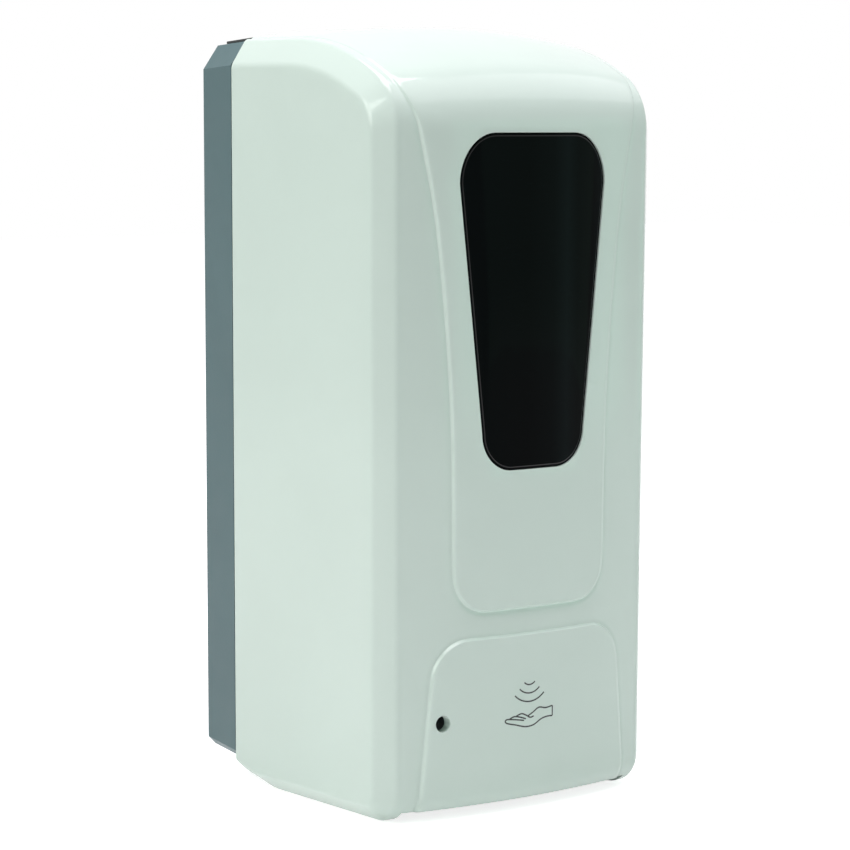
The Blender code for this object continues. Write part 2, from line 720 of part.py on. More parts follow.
def panel_at(height):
    """Half width and rise of the raised panel at a height above the cover's bottom edge."""
    if height >= CENTRE_PANEL_BOTTOM:
        fade = (CENTRE_PANEL_TOP_HEIGHT - height) / (CENTRE_PANEL_TOP_HEIGHT - CENTRE_PANEL_NECK_HEIGHT)
        return centre_panel_half(height), PANEL_RISE * min(1.0, max(0.0, fade))
    if height <= LOWER_PANEL_TOP:
        return lower_panel_half(height), PANEL_RISE
    share = (height - LOWER_PANEL_TOP) / (CENTRE_PANEL_BOTTOM - LOWER_PANEL_TOP)
    low = LOWER_PANEL_HALF - LOWER_PANEL_CORNER
    high = CENTRE_PANEL_HALF - CENTRE_PANEL_CORNER
    return low + (high - low) * share, 0.0


def front_heights():
    """Heights of the rows on the upright front, which lie closer where a panel's corners turn."""
    low_end = SIDE_BOTTOM_Z + CHIN_RADIUS - COVER_BOTTOM
    corner_start = LOWER_PANEL_TOP - LOWER_PANEL_CORNER
    heights = [CENTRE_PANEL_HIGH_HEIGHT, (CENTRE_PANEL_HIGH_HEIGHT + CENTRE_PANEL_MID_HEIGHT) / 2]
    heights += [CENTRE_PANEL_MID_HEIGHT]
    heights += [CENTRE_PANEL_BOTTOM + CENTRE_PANEL_CORNER * share for share in reversed(CORNER_SHARES)]
    heights += [CENTRE_PANEL_BOTTOM - PANEL_EDGE, LOWER_PANEL_TOP + PANEL_EDGE]
    heights += [LOWER_PANEL_TOP - LOWER_PANEL_CORNER * share for share in CORNER_SHARES]
    heights += [(corner_start + low_end) / 2]
    return heights


def side_rows():
    """Rows of the skin: (y, z, outward angle, edge rise, crown, panel half width, panel rise).

    y and z are on the side plane. The angle is 0 on the top and 90 degrees on the front.
    """
    rows = []
    right = math.pi / 2
    slope = math.radians(SHOULDER_SLOPE_DEG)
    flat_end = COVER_REAR - SHOULDER_FLAT
    shoulder_depth = SIDE_DEPTH + flat_end - BROW_RADIUS * (1 - math.sin(slope))
    shoulder_radius = shoulder_depth / math.sin(slope)

    def add(y, z, angle, edge=None, crown=None):
        turn = min(1.0, angle / right)
        edge_rise = TOP_EDGE_RISE + (FRONT_EDGE_RISE - TOP_EDGE_RISE) * turn if edge is None else edge
        crown_rise = TOP_CROWN + (FRONT_CROWN - TOP_CROWN) * turn if crown is None else crown
        height = z - COVER_BOTTOM + max(0.0, edge_rise * math.cos(angle))
        rows.append((y, z, angle, edge_rise, crown_rise, *panel_at(height)))

    for share in (0.0, 0.5):
        add(SKIN_REAR + (flat_end - SKIN_REAR) * share, SHOULDER_Z, 0.0)
    for step in range(SHOULDER_STEPS):
        angle = slope * step / SHOULDER_STEPS
        drop = shoulder_radius * (1 - math.cos(angle))
        add(flat_end - shoulder_radius * math.sin(angle), SHOULDER_Z - drop, angle)
    brow_y = flat_end - shoulder_radius * math.sin(slope)
    brow_z = SHOULDER_Z - shoulder_radius * (1 - math.cos(slope))
    for step in range(BROW_STEPS + 1):
        angle = slope + (right - slope) * step / BROW_STEPS
        y = brow_y + BROW_RADIUS * (math.sin(slope) - math.sin(angle))
        add(y, brow_z - BROW_RADIUS * (math.cos(slope) - math.cos(angle)), angle)
    for height in front_heights():
        add(-SIDE_DEPTH, COVER_BOTTOM + height, right)
    for step in range(CHIN_STEPS + 1):
        turn = right * step / CHIN_STEPS
        y = -SIDE_DEPTH + CHIN_RADIUS * (1 - math.cos(turn))
        z = SIDE_BOTTOM_Z + CHIN_RADIUS * (1 - math.sin(turn))
        add(y, z, right + turn, FRONT_EDGE_RISE, FRONT_CROWN * math.cos(turn) ** 2)
    heel_start = COVER_REAR - HEEL_LENGTH
    add(heel_start, SIDE_BOTTOM_Z, math.pi, FRONT_EDGE_RISE, 0.0)
    for step in range(1, HEEL_STEPS + 1):
        share = step / HEEL_STEPS
        y = heel_start + (SKIN_REAR - heel_start) * share
        rise = HEEL_RISE * ((y - heel_start) / HEEL_LENGTH) ** HEEL_POWER
        edge = FRONT_EDGE_RISE * (1 - HEEL_EDGE_SHARE * share)
        add(y, COVER_BOTTOM + rise + edge, math.pi, edge, 0.0)
    return rows


def edge_columns(edge_rise):
    """(distance in from the side plane, height) of the softened edge band, from the side inwards."""
    corner = [(0.0, -EDGE_ROUND), (0.0, 0.0), (EDGE_WIDTH, edge_rise)]
    leg = Vector(corner[2])
    along = leg.normalized() * EDGE_ROUND
    first = [Vector(corner[0]), Vector((0.0, 0.0)), along]
    flat = Vector((EDGE_ROUND, 0.0))
    second = [leg - along, leg, leg + flat]
    columns = []
    for low, peak, high in (first, second):
        for t in BAND_SHARES:
            columns.append(low * (1 - t) ** 2 + peak * 2 * t * (1 - t) + high * t * t)
    return [(point.x, point.y) for point in columns]


def side_x(z):
    """Half width of the side plane at a height, with its draft."""
    share = (SHOULDER_Z - z) / (SHOULDER_Z - COVER_BOTTOM)
    return HALF_WIDTH - SIDE_DRAFT * share


def skin_row(row, seam_z):
    """Points of one row, from the middle out to the seam on the right."""
    y, z, angle, edge_rise, crown, half, rise = row
    out_y, out_z = -math.sin(angle), math.cos(angle)
    width = side_x(z)
    band = edge_columns(edge_rise)
    band_x = width - band[-1][0]
    half = min(half, band_x - 4 * PANEL_EDGE)

    def height_at(x):
        return edge_rise + crown * (1 - (x / band_x) ** 2)

    places = [(half * share, height_at(half * share) + rise) for share in (0.0, *INNER_SHARES, 1.0)]
    places.append((half + PANEL_EDGE, height_at(half + PANEL_EDGE)))
    middle = (half + PANEL_EDGE + band_x) / 2
    places.append((middle, height_at(middle)))
    places += [(width - inset, rise_here) for inset, rise_here in reversed(band)]
    points = [(x, y + out_y * n, z + out_z * n) for x, n in places]
    foot = points[-1]
    for share in (SEAM_SHARE, 1.0):
        here = foot[2] + (seam_z - foot[2]) * share
        points.append((side_x(here), foot[1] + (SKIN_REAR - foot[1]) * share, here))
    return points


def cover_skin():
    """Open outer surface of the cover, as a loft of its rows."""
    rows = side_rows()
    seam_top = rows[0][1] - EDGE_WIDTH
    seam_bottom = rows[-1][1] + EDGE_WIDTH
    shape = bmesh.new()
    grid = []
    for index, row in enumerate(rows):
        half = skin_row(row, seam_top + (seam_bottom - seam_top) * index / (len(rows) - 1))
        line = [(-x, y, z) for x, y, z in reversed(half[1:])] + half
        grid.append([shape.verts.new(point) for point in line])
    for upper, lower in zip(grid, grid[1:]):
        for i in range(len(upper) - 1):
            shape.faces.new((upper[i], lower[i], lower[i + 1], upper[i + 1]))
    return mesh_from(shape, "skin", False)


def window_outline(offset=0.0):
    """Outline of the window in x and z, grown or shrunk by an offset."""
    low_z = COVER_BOTTOM + WINDOW_LOW
    high_z = COVER_BOTTOM + WINDOW_HIGH
    top = (WINDOW_HIGH_HALF - WINDOW_TOP_HALF + offset, WINDOW_TOP - WINDOW_HIGH + offset)
    bottom = (WINDOW_LOW_HALF - WINDOW_BOTTOM_HALF + offset, WINDOW_LOW - WINDOW_BOTTOM + offset)
    right = arc((WINDOW_TOP_HALF, high_z), top, 90, 0, WINDOW_CORNER_STEPS)
    right += arc((WINDOW_BOTTOM_HALF, low_z), bottom, 0, -90, WINDOW_CORNER_STEPS)
    return mirrored(right)


def body_between(lower, upper, name):
    """Closed body between two grids of points that have the same layout."""
    shape = bmesh.new()
    grids = [[[shape.verts.new(point) for point in line] for line in grid] for grid in (lower, upper)]
    rows, columns = len(lower), len(lower[0])
    for grid in grids:
        for r in range(rows - 1):
            for c in range(columns - 1):
                shape.faces.new((grid[r][c], grid[r][c + 1], grid[r + 1][c + 1], grid[r + 1][c]))
    low, high = grids
    for r in (0, rows - 1):
        for c in range(columns - 1):
            shape.faces.new((low[r][c], low[r][c + 1], high[r][c + 1], high[r][c]))
    for c in (0, columns - 1):
        for r in range(rows - 1):
            shape.faces.new((low[r][c], low[r + 1][c], high[r + 1][c], high[r][c]))
    return mesh_from(shape, name)


def bowed_sheet(front, thickness, outline):
    """Sheet with the bow of the cover's front, a little larger than an outline of (x, z) points."""
    half = max(x for x, z in outline) + OVERRUN
    low = min(z for x, z in outline) - OVERRUN
    high = max(z for x, z in outline) + OVERRUN
    band_x = HALF_WIDTH - EDGE_WIDTH - EDGE_ROUND
    grids = []
    for depth in (0.0, thickness):
        grid = []
        for z in (low, high):
            xs = [half * (2 * i / SHEET_COLUMNS - 1) for i in range(SHEET_COLUMNS + 1)]
            grid.append([(x, front + FRONT_CROWN * (x / band_x) ** 2 + depth, z) for x in xs])
        grids.append(grid)
    return body_between(*grids, "sheet")


def make_cover():
    """Front cover: solidified skin with its window, holes, hinge bosses and lock catch."""
    cover = add_piece("front_cover", cover_skin(), WHITE_GLOSS)
    thicken(cover, SHELL_WALL)

    hole_place = (INDICATOR_X, FRONT_Y - SHELL_WALL, COVER_BOTTOM + INDICATOR_HEIGHT)
    wide, tall = WIDTH, BASE_HEIGHT
    low = COVER_BOTTOM - OVERRUN
    high = COVER_BOTTOM + FRONT_EDGE_RISE + 2 * SHELL_WALL
    underside = [
        (FRONT_Y - OVERRUN, low),
        (FRONT_Y - OVERRUN, COVER_BOTTOM + UNDERSIDE_RISE),
        (-UNDERSIDE_FRONT, COVER_BOTTOM + UNDERSIDE_RISE),
        (-UNDERSIDE_FRONT, high),
        (COVER_REAR + OVERRUN, high),
        (COVER_REAR + OVERRUN, low),
    ]
    cut(
        cover,
        box((-wide, COVER_REAR, -tall), (wide, 0.0, tall)),
        prism(window_outline(), FRONT_Y - SHELL_WALL, FRONT_Y + CUT_REACH),
        rod(INDICATOR_HOLE_RADIUS, hole_place, SHELL_WALL + CUT_REACH, "Y", SMALL_SIDES),
        prism(underside, -UNDERSIDE_HALF, UNDERSIDE_HALF, "X"),
    )

    boss_x = EAR_INNER + EAR_THICKNESS + HINGE_BOSS_GAP
    bore_length = PIN_REACH + RUN_GAP + OVERRUN
    rib_length = side_x(HINGE_Z) - SHELL_WALL / 2 - boss_x
    bosses, bores = [], []
    for side in (-1, 1):
        start = boss_x if side > 0 else -boss_x - HINGE_BOSS_LENGTH
        bosses.append(rod(HINGE_BOSS_RADIUS, (start, HINGE_Y, HINGE_Z), HINGE_BOSS_LENGTH, "X"))
        rib_start = boss_x + SINK if side > 0 else -boss_x - rib_length
        bosses.append(
            box(
                (rib_start, HINGE_Y - HINGE_RIB_HALF, HINGE_Z + SINK),
                (rib_start + rib_length - SINK, HINGE_Y + HINGE_RIB_HALF, HINGE_Z + HINGE_RIB_HEIGHT),
            )
        )
        bore_start = boss_x - OVERRUN if side > 0 else -boss_x + OVERRUN - bore_length
        place = (bore_start, HINGE_Y, HINGE_Z)
        bores.append(rod(PIN_RADIUS + FIT_GAP, place, bore_length, "X", SMALL_SIDES))
    catch_bottom = cam_top() - CAM_THICKNESS - CATCH_CLEARANCE - CATCH_BAR
    catch = box(
        (-CATCH_LEFT, -CATCH_BACK - CATCH_THICKNESS, catch_bottom),
        (CATCH_RIGHT, -CATCH_BACK, CROWN_Z - SHELL_WALL / 2 - SINK),
    )
    join(cover, *bosses, catch)
    slot = box(
        (-CATCH_LEFT + CATCH_LEG, -CATCH_BACK - CATCH_THICKNESS - OVERRUN, catch_bottom + CATCH_BAR),
        (CATCH_RIGHT + OVERRUN, -CATCH_BACK + OVERRUN, catch_bottom + CATCH_BAR + CATCH_SPAN),
    )
    cut(cover, *bores, slot)


def make_window():
    """Smoked lens in the cover's window, and the frame that holds it from behind."""
    face = FRONT_Y + LENS_RECESS
    reach = face + CUT_REACH
    lens_outline = window_outline(-FIT_GAP)
    lens = add_piece("window_lens", bowed_sheet(face, LENS_THICKNESS, lens_outline), BLACK_GLOSS)
    combine(lens, "INTERSECT", prism(lens_outline, face - OVERRUN, reach))
    back = FRONT_Y + SHELL_WALL + FRAME_GAP
    frame_outline = window_outline(FRAME_LAP)
    frame = add_piece("window_frame", bowed_sheet(back, FRAME_THICKNESS, frame_outline), BLACK_SATIN)
    combine(frame, "INTERSECT", prism(frame_outline, back - OVERRUN, reach))
    cut(frame, prism(window_outline(-FRAME_INSET), back - 2 * OVERRUN, reach + OVERRUN))


# Base tray and lock


def base_top_z(x, y):
    """Height of the base's top face, which rises to the seam and towards the middle."""
    slope = BASE_TOP_SLOPE * (-y / BASE_DEPTH)
    crown = BASE_TOP_CROWN * (1 - (x / (HALF_WIDTH - EDGE_WIDTH)) ** 2)
    return BASE_TOP + slope + crown


def base_outline(y):
    """Outline of the base at one depth, in x and z."""
    edge_x = HALF_WIDTH - EDGE_WIDTH
    top = [(edge_x * share, base_top_z(edge_x * share, y)) for share in BASE_TOP_SHARES]
    bottom_z = BASE_BOTTOM + BASE_HEEL_SLOPE * (y / BASE_DEPTH)
    shoulder = base_top_z(edge_x, y) - BASE_TOP_EDGE
    right = top + [(side_x(shoulder), shoulder)]
    right += [(side_x(bottom_z), bottom_z + BASE_BOTTOM_EDGE)]
    right += [(side_x(bottom_z) - BASE_BOTTOM_EDGE, bottom_z)]
    return right + [(-x, z) for x, z in reversed(right[1:])]


def make_base():
    """Grey wall tray with keyholes, screw holes and the boss of the lock."""
    shape = bmesh.new()
    rings = []
    for y in (0.0, -BASE_DEPTH - 2 * OVERRUN):
        rings.append([shape.verts.new((x, y, z)) for x, z in base_outline(y)])
    shape.faces.new(rings[0])
    count = len(rings[0])
    for i in range(count):
        j = (i + 1) % count
        shape.faces.new((rings[0][j], rings[0][i], rings[1][i], rings[1][j]))
    tray = add_piece("back_plate", mesh_from(shape, "tray", False), GREY_SATIN)
    thicken(tray, SHELL_WALL)

    lock_top = base_top_z(0.0, -LOCK_SETBACK)
    boss_low = lock_top - LOCK_BOSS_LENGTH
    boss_length = LOCK_BOSS_LENGTH - SHELL_WALL / 2
    join(tray, rod(LOCK_BOSS_RADIUS, (0.0, -LOCK_SETBACK, boss_low), boss_length, "Z"))
    bore_start = (0.0, -LOCK_SETBACK, boss_low - OVERRUN)
    cuts = [
        box((-WIDTH, -BASE_DEPTH - SHELL_WALL - OVERRUN, -BASE_HEIGHT), (WIDTH, -BASE_DEPTH, BASE_HEIGHT)),
        rod(LOCK_RADIUS + FIT_GAP, bore_start, LOCK_BOSS_LENGTH + 2 * OVERRUN, "Z"),
    ]
    through = SHELL_WALL + 2 * OVERRUN
    start = -SHELL_WALL - OVERRUN
    for side in (-1, 1):
        x = side * KEYHOLE_HALF_SPACING
        cuts.append(rod(KEYHOLE_HEAD_RADIUS, (x, start, KEYHOLE_HEIGHT), through, "Y", SMALL_SIDES))
        cuts.append(
            box(
                (x - KEYHOLE_SLOT_HALF, start, KEYHOLE_HEIGHT),
                (x + KEYHOLE_SLOT_HALF, start + through, KEYHOLE_HEIGHT + KEYHOLE_SLOT_LENGTH),
            )
        )
        lower = (side * LOWER_HOLE_HALF_SPACING, start, LOWER_HOLE_HEIGHT)
        cuts.append(rod(KEYHOLE_SLOT_HALF, lower, through, "Y", SMALL_SIDES))
    for x, z in chassis_screw_places():
        cuts.append(rod(SCREW_RADIUS + FIT_GAP, (x, start, z), through, "Y", SMALL_SIDES))
    cut(tray, *cuts)


def make_lock_plate():
    """Thin black plate laid on the base's top face, with a hole for the lock's head."""
    depths = (-LOCK_PLATE_MARGIN, -BASE_DEPTH + LOCK_PLATE_MARGIN)
    xs = [LOCK_PLATE_HALF * (2 * i / SHEET_COLUMNS - 1) for i in range(SHEET_COLUMNS + 1)]
    grids = [
        [[(x, y, base_top_z(x, y) + lift) for x in xs] for y in depths]
        for lift in (FIT_GAP, FIT_GAP + LOCK_PLATE_THICKNESS)
    ]
    plate = add_piece("lock_plate", body_between(*grids, "plate"), BLACK_SATIN)
    hole_place = (0.0, -LOCK_SETBACK, base_top_z(0.0, 0.0) - OVERRUN)
    cut(plate, rod(LOCK_HEAD_RADIUS + FIT_GAP, hole_place, 5 * OVERRUN, "Z"))


def cam_top():
    """Height of the cam's upper face, just below the lock's boss."""
    return base_top_z(0.0, -LOCK_SETBACK) - LOCK_BOSS_LENGTH - 2 * FIT_GAP


def make_lock():
    """Lock cylinder with its key slot, the cam below it and the cam's screw."""
    seat = base_top_z(0.0, -LOCK_SETBACK) + BASE_TOP_SLOPE + FIT_GAP
    top = seat + LOCK_PLATE_THICKNESS
    body_bottom = cam_top() + FIT_GAP
    profile = [
        (0.0, top),
        (LOCK_HEAD_RADIUS, top),
        (LOCK_HEAD_RADIUS, seat),
        (LOCK_RADIUS, seat),
        (LOCK_RADIUS, body_bottom),
        (0.0, body_bottom),
    ]
    place = (0.0, -LOCK_SETBACK, 0.0)
    cylinder = add_piece("lock_cylinder", turned(profile, place), STEEL)
    slot = box(
        (-KEY_SLOT_LENGTH / 2, -LOCK_SETBACK - KEY_SLOT_WIDTH / 2, top - KEY_SLOT_DEPTH),
        (KEY_SLOT_LENGTH / 2, -LOCK_SETBACK + KEY_SLOT_WIDTH / 2, top + OVERRUN),
    )
    bore_start = (0.0, -LOCK_SETBACK, body_bottom - OVERRUN)
    bore_length = CAM_SCREW_LENGTH - CAM_THICKNESS + OVERRUN + FIT_GAP
    cut(cylinder, slot, rod(CAM_SCREW_RADIUS + FIT_GAP, bore_start, bore_length, "Z", SMALL_SIDES))

    cam_low = cam_top() - CAM_THICKNESS
    spread = math.degrees(math.asin(CAM_HALF_WIDTH / CAM_HUB_RADIUS))
    hub = arc((0.0, -LOCK_SETBACK), (CAM_HUB_RADIUS, CAM_HUB_RADIUS), spread, 360 - spread, SMALL_SIDES)
    arm = [(CAM_LENGTH, -LOCK_SETBACK - CAM_HALF_WIDTH), (CAM_LENGTH, -LOCK_SETBACK + CAM_HALF_WIDTH)]
    cam = add_piece("lock_cam", prism(hub + arm, cam_low, cam_top(), "Z"), STEEL)
    hole_start = (0.0, -LOCK_SETBACK, cam_low - OVERRUN)
    cut(cam, rod(CAM_SCREW_RADIUS + FIT_GAP, hole_start, CAM_THICKNESS + 2 * OVERRUN, "Z", SMALL_SIDES))

    head_top = cam_low - FIT_GAP
    screw = [
        (0.0, head_top + CAM_SCREW_LENGTH),
        (CAM_SCREW_RADIUS, head_top + CAM_SCREW_LENGTH),
        (CAM_SCREW_RADIUS, head_top),
        (CAM_SCREW_HEAD_RADIUS, head_top),
        (CAM_SCREW_HEAD_RADIUS, head_top - CAM_SCREW_HEAD_HEIGHT),
        (0.0, head_top - CAM_SCREW_HEAD_HEIGHT),
    ]
    add_piece("cam_screw", turned(screw, place, sides=SMALL_SIDES), STEEL)


# Hinge, chassis and screws


def chassis_screw_places():
    """(x, z) of the four screws that hold the chassis in the base."""
    heights = (CHASSIS_SCREW_HIGH, CHASSIS_SCREW_LOW)
    return [(side * CHASSIS_SCREW_X, z) for z in heights for side in (-1, 1)]


def make_hinge_pins():
    """Two headed pins that run from the chassis ears into the cover's bosses."""
    end = EAR_INNER + EAR_THICKNESS + HINGE_BOSS_GAP + PIN_REACH
    for name, side in (("hinge_pin_left", -1), ("hinge_pin_right", 1)):
        head = EAR_INNER - FIT_GAP
        profile = [
            (0.0, end),
            (PIN_RADIUS, end),
            (PIN_RADIUS, head),
            (PIN_HEAD_RADIUS, head),
            (PIN_HEAD_RADIUS, head - PIN_HEAD_THICKNESS),
            (0.0, head - PIN_HEAD_THICKNESS),
        ]
        mesh = turned(profile, (0.0, 0.0, 0.0), "X", SMALL_SIDES)
        if side < 0:
            mesh.transform(Matrix.Rotation(math.pi, 4, "Z"))
        mesh.transform(Matrix.Translation((0.0, HINGE_Y, HINGE_Z)))
        add_piece(name, mesh, STEEL)


def ear_outline(back):
    """Side outline of a hinge ear in y and z: an arm from the panel and a rounded leg."""
    leg = arc((HINGE_Y, HINGE_Z), (EAR_RADIUS, EAR_RADIUS), 0, -180, SMALL_SIDES)
    foot = [(back, EAR_ARM_TOP), (back, EAR_FOOT), (HINGE_Y + EAR_RADIUS, EAR_FOOT)]
    return [*foot, *leg, (leg[-1][0], EAR_ARM_TOP)]


def make_chassis():
    """Inner frame: back panel, bottle shelf with a lip, and the two hinge ears."""
    back = -(SHELL_WALL + FIT_GAP)
    front = back - CHASSIS_THICKNESS
    panel = add_piece(
        "chassis",
        box((-CHASSIS_HALF, front, CHASSIS_BOTTOM), (CHASSIS_HALF, back, CHASSIS_TOP)),
        CHASSIS_GREY,
    )
    shelf_low = SHELF_TOP - SHELF_THICKNESS
    shelf = [
        (back - SINK, SHELF_TOP),
        (back - SINK, shelf_low),
        (-SHELF_DEPTH + SHELF_LIP_THICKNESS, shelf_low),
        (-SHELF_DEPTH + SHELF_LIP_THICKNESS, shelf_low - SHELF_LIP_HEIGHT),
        (-SHELF_DEPTH, shelf_low - SHELF_LIP_HEIGHT),
        (-SHELF_DEPTH, SHELF_TOP),
    ]
    shelf_half = CHASSIS_HALF - SINK
    parts = [prism(shelf, -shelf_half, shelf_half, "X")]
    outline = ear_outline(back - SINK)
    parts.append(prism(outline, EAR_INNER, EAR_INNER + EAR_THICKNESS, "X"))
    parts.append(prism(outline, -EAR_INNER - EAR_THICKNESS, -EAR_INNER, "X"))
    join(panel, *parts)

    cuts = []
    for side in (-1, 1):
        start = (side * (EAR_INNER + EAR_THICKNESS / 2) - EAR_THICKNESS, HINGE_Y, HINGE_Z)
        cuts.append(rod(PIN_RADIUS + FIT_GAP, start, 2 * EAR_THICKNESS, "X", SMALL_SIDES))
    seal_hole = SPOUT_RADIUS + 2 * SEAL_WIRE + 2 * FIT_GAP
    start = (INLET_X, TUBE_Y, shelf_low - OVERRUN)
    cuts.append(rod(seal_hole, start, SHELF_THICKNESS + 2 * OVERRUN, "Z"))
    for x, z in chassis_screw_places():
        start = (x, front - OVERRUN, z)
        length = CHASSIS_THICKNESS + 2 * OVERRUN
        cuts.append(rod(SCREW_RADIUS + FIT_GAP, start, length, "Y", SMALL_SIDES))
    cut(panel, *cuts)


def screw_mesh(radius, length, head_radius, head_height):
    """Pan-head screw that points along +Y from its head's seat at the origin, with a slotted head."""
    profile = [
        (0.0, length),
        (radius, length),
        (radius, 0.0),
        (head_radius, 0.0),
        (head_radius * SCREW_HEAD_TOP_SHARE, -head_height),
        (0.0, -head_height),
    ]
    return turned(profile, (0.0, 0.0, 0.0), "Y", SMALL_SIDES)


def make_screw(name, place, radius, length, head_radius, head_height):
    mesh = screw_mesh(radius, length, head_radius, head_height)
    mesh.transform(Matrix.Translation(place))
    screw = add_piece(name, mesh, STEEL)
    x, y, z = place
    low = (x - head_radius - OVERRUN, y - head_height - OVERRUN, z - SCREW_SLOT_WIDTH / 2)
    high = (x + head_radius + OVERRUN, y - head_height + SCREW_SLOT_DEPTH, z + SCREW_SLOT_WIDTH / 2)
    cut(screw, box(low, high))


def make_chassis_screws():
    seat = -(SHELL_WALL + FIT_GAP + CHASSIS_THICKNESS + FIT_GAP)
    length = -seat - FIT_GAP - SCREW_HEAD_HEIGHT / 4
    for index, (x, z) in enumerate(chassis_screw_places(), 1):
        name = f"chassis_screw_{index}"
        make_screw(name, (x, seat, z), SCREW_RADIUS, length, SCREW_HEAD_RADIUS, SCREW_HEAD_HEIGHT)


# Battery box


def make_battery_box():
    """Open-fronted box for four upright cells, with rails for its sliding door."""
    box_piece = add_piece(
        "battery_box",
        box((-BOX_HALF, BOX_FRONT, BOX_FLOOR), (BOX_HALF, BOX_BACK, BOX_TOP)),
        CASE_GREY,
    )
    cut(
        box_piece,
        box(
            (-BOX_HALF + BOX_WALL, BOX_FRONT - OVERRUN, BOX_FLOOR + BOX_WALL),
            (BOX_HALF - BOX_WALL, BOX_BACK - BOX_WALL, BOX_TOP - BOX_WALL),
        ),
    )
    lip_back = DOOR_FRONT - FIT_GAP
    rail = [
        (DOOR_HALF + FIT_GAP, BOX_FRONT + OVERRUN),
        (DOOR_HALF + FIT_GAP, lip_back),
        (RAIL_INNER, lip_back),
        (RAIL_INNER, lip_back - RAIL_LIP),
        (BOX_HALF - SINK, lip_back - RAIL_LIP),
        (BOX_HALF - SINK, BOX_FRONT + OVERRUN),
    ]
    low, high = BOX_FLOOR + SINK, BOX_TOP - SINK
    join(
        box_piece,
        prism(rail, low, high, "Z"),
        prism([(-x, y) for x, y in reversed(rail)], low, high, "Z"),
    )
    door_top = BOX_TOP - DOOR_MARGIN
    door = add_piece(
        "battery_door",
        box(
            (-DOOR_HALF, DOOR_FRONT, BOX_FLOOR + DOOR_MARGIN),
            (DOOR_HALF, DOOR_FRONT + DOOR_THICKNESS, door_top),
        ),
        CASE_GREY,
    )
    grips = []
    for index in range(DOOR_GRIP_COUNT):
        low = door_top - 2 * (index + 1) * DOOR_GRIP_HEIGHT
        grips.append(
            box(
                (-DOOR_GRIP_WIDTH / 2, DOOR_FRONT - OVERRUN, low),
                (DOOR_GRIP_WIDTH / 2, DOOR_FRONT + DOOR_GRIP_DEPTH, low + DOOR_GRIP_HEIGHT),
            )
        )
    cut(door, *grips)


def cell_places():
    """(x, which way up) of the cells: +1 has its nub at the top."""
    first = -CELL_PITCH * (CELL_COUNT - 1) / 2
    return [(first + index * CELL_PITCH, 1 if index % 2 == 0 else -1) for index in range(CELL_COUNT)]


def make_cells():
    """Cells, joined in pairs by contact strips above, with two springs below the outer pair."""
    floor = BOX_FLOOR + BOX_WALL + FIT_GAP
    cell_low = floor + CONTACT_THICKNESS + SPRING_ROOM
    for index, (x, way) in enumerate(cell_places(), 1):
        rim = CELL_RADIUS - CELL_NUB_HEIGHT / 2
        profile = [
            (0.0, CELL_LENGTH + CELL_NUB_HEIGHT),
            (CELL_NUB_RADIUS, CELL_LENGTH + CELL_NUB_HEIGHT),
            (CELL_NUB_RADIUS, CELL_LENGTH),
            (rim, CELL_LENGTH),
            (CELL_RADIUS, CELL_LENGTH - CELL_NUB_HEIGHT / 2),
            (CELL_RADIUS, CELL_NUB_HEIGHT / 2),
            (rim, 0.0),
            (0.0, 0.0),
        ]
        mesh = turned(profile, sides=CELL_SIDES)
        if way < 0:
            mesh.transform(Matrix.Rotation(math.pi, 4, "X"))
            mesh.transform(Matrix.Translation((0, 0, CELL_LENGTH + CELL_NUB_HEIGHT)))
        mesh.transform(Matrix.Translation((x, CELL_Y, cell_low)))
        add_piece(f"battery_cell_{index}", mesh, CELL_JACKET)
    top = cell_low + CELL_LENGTH + CELL_NUB_HEIGHT + FIT_GAP
    places = [x for x, way in cell_places()]
    pairs = [places[index : index + 2] for index in range(0, CELL_COUNT, 2)]
    for index, pair in enumerate(pairs, 1):
        low = (pair[0] - CONTACT_OVERHANG, CELL_Y - CONTACT_HALF_DEPTH, top)
        high = (pair[-1] + CONTACT_OVERHANG, CELL_Y + CONTACT_HALF_DEPTH, top + CONTACT_THICKNESS)
        add_piece(f"contact_strip_{index}", box(low, high), STEEL)
    outer = [cell_places()[0][0], cell_places()[-1][0]]
    for name, x in (("contact_spring_left", outer[0]), ("contact_spring_right", outer[1])):
        add_piece(name, spring_mesh(x, floor + SPRING_WIRE, cell_low - FIT_GAP - SPRING_WIRE), STEEL)


def spring_mesh(x, low, high):
    """Open coil between two heights, as one round wire."""
    points = []
    count = SPRING_TURNS * SPRING_TURN_POINTS
    for index in range(count + 1):
        turn = 2 * math.pi * index / SPRING_TURN_POINTS
        height = low + (high - low) * index / count
        points.append((x + SPRING_RADIUS * math.cos(turn), CELL_Y + SPRING_RADIUS * math.sin(turn), height))
    return tube(points, SPRING_WIRE, 1)


# Reservoir


def bottle_block(inset):
    """Side outline of the bottle as a block with rounded edges, shrunk by an inset."""
    back, front = BOTTLE_BACK - inset, -BOTTLE_FRONT + inset
    low, high = BOTTLE_BOTTOM + inset, BOTTLE_TOP - inset
    outline = [
        (back, low),
        (back, high),
        (front + BOTTLE_SLOPE_LENGTH, high),
        (front, high - BOTTLE_FRONT_DROP),
        (front, low),
    ]
    half = BOTTLE_HALF - inset
    shape = bmesh.new()
    rings = [[shape.verts.new((x, y, z)) for y, z in outline] for x in (-half, half)]
    count = len(outline)
    for ring in rings:
        shape.faces.new(ring)
    for i in range(count):
        j = (i + 1) % count
        shape.faces.new((rings[0][i], rings[0][j], rings[1][j], rings[1][i]))
    bmesh.ops.bevel(
        shape,
        geom=list(shape.edges),
        offset=BOTTLE_ROUND - inset,
        segments=BOTTLE_ROUND_STEPS,
        profile=BEVEL_PROFILE_SHARE,
        affect="EDGES",
    )
    return mesh_from(shape, "bottle")


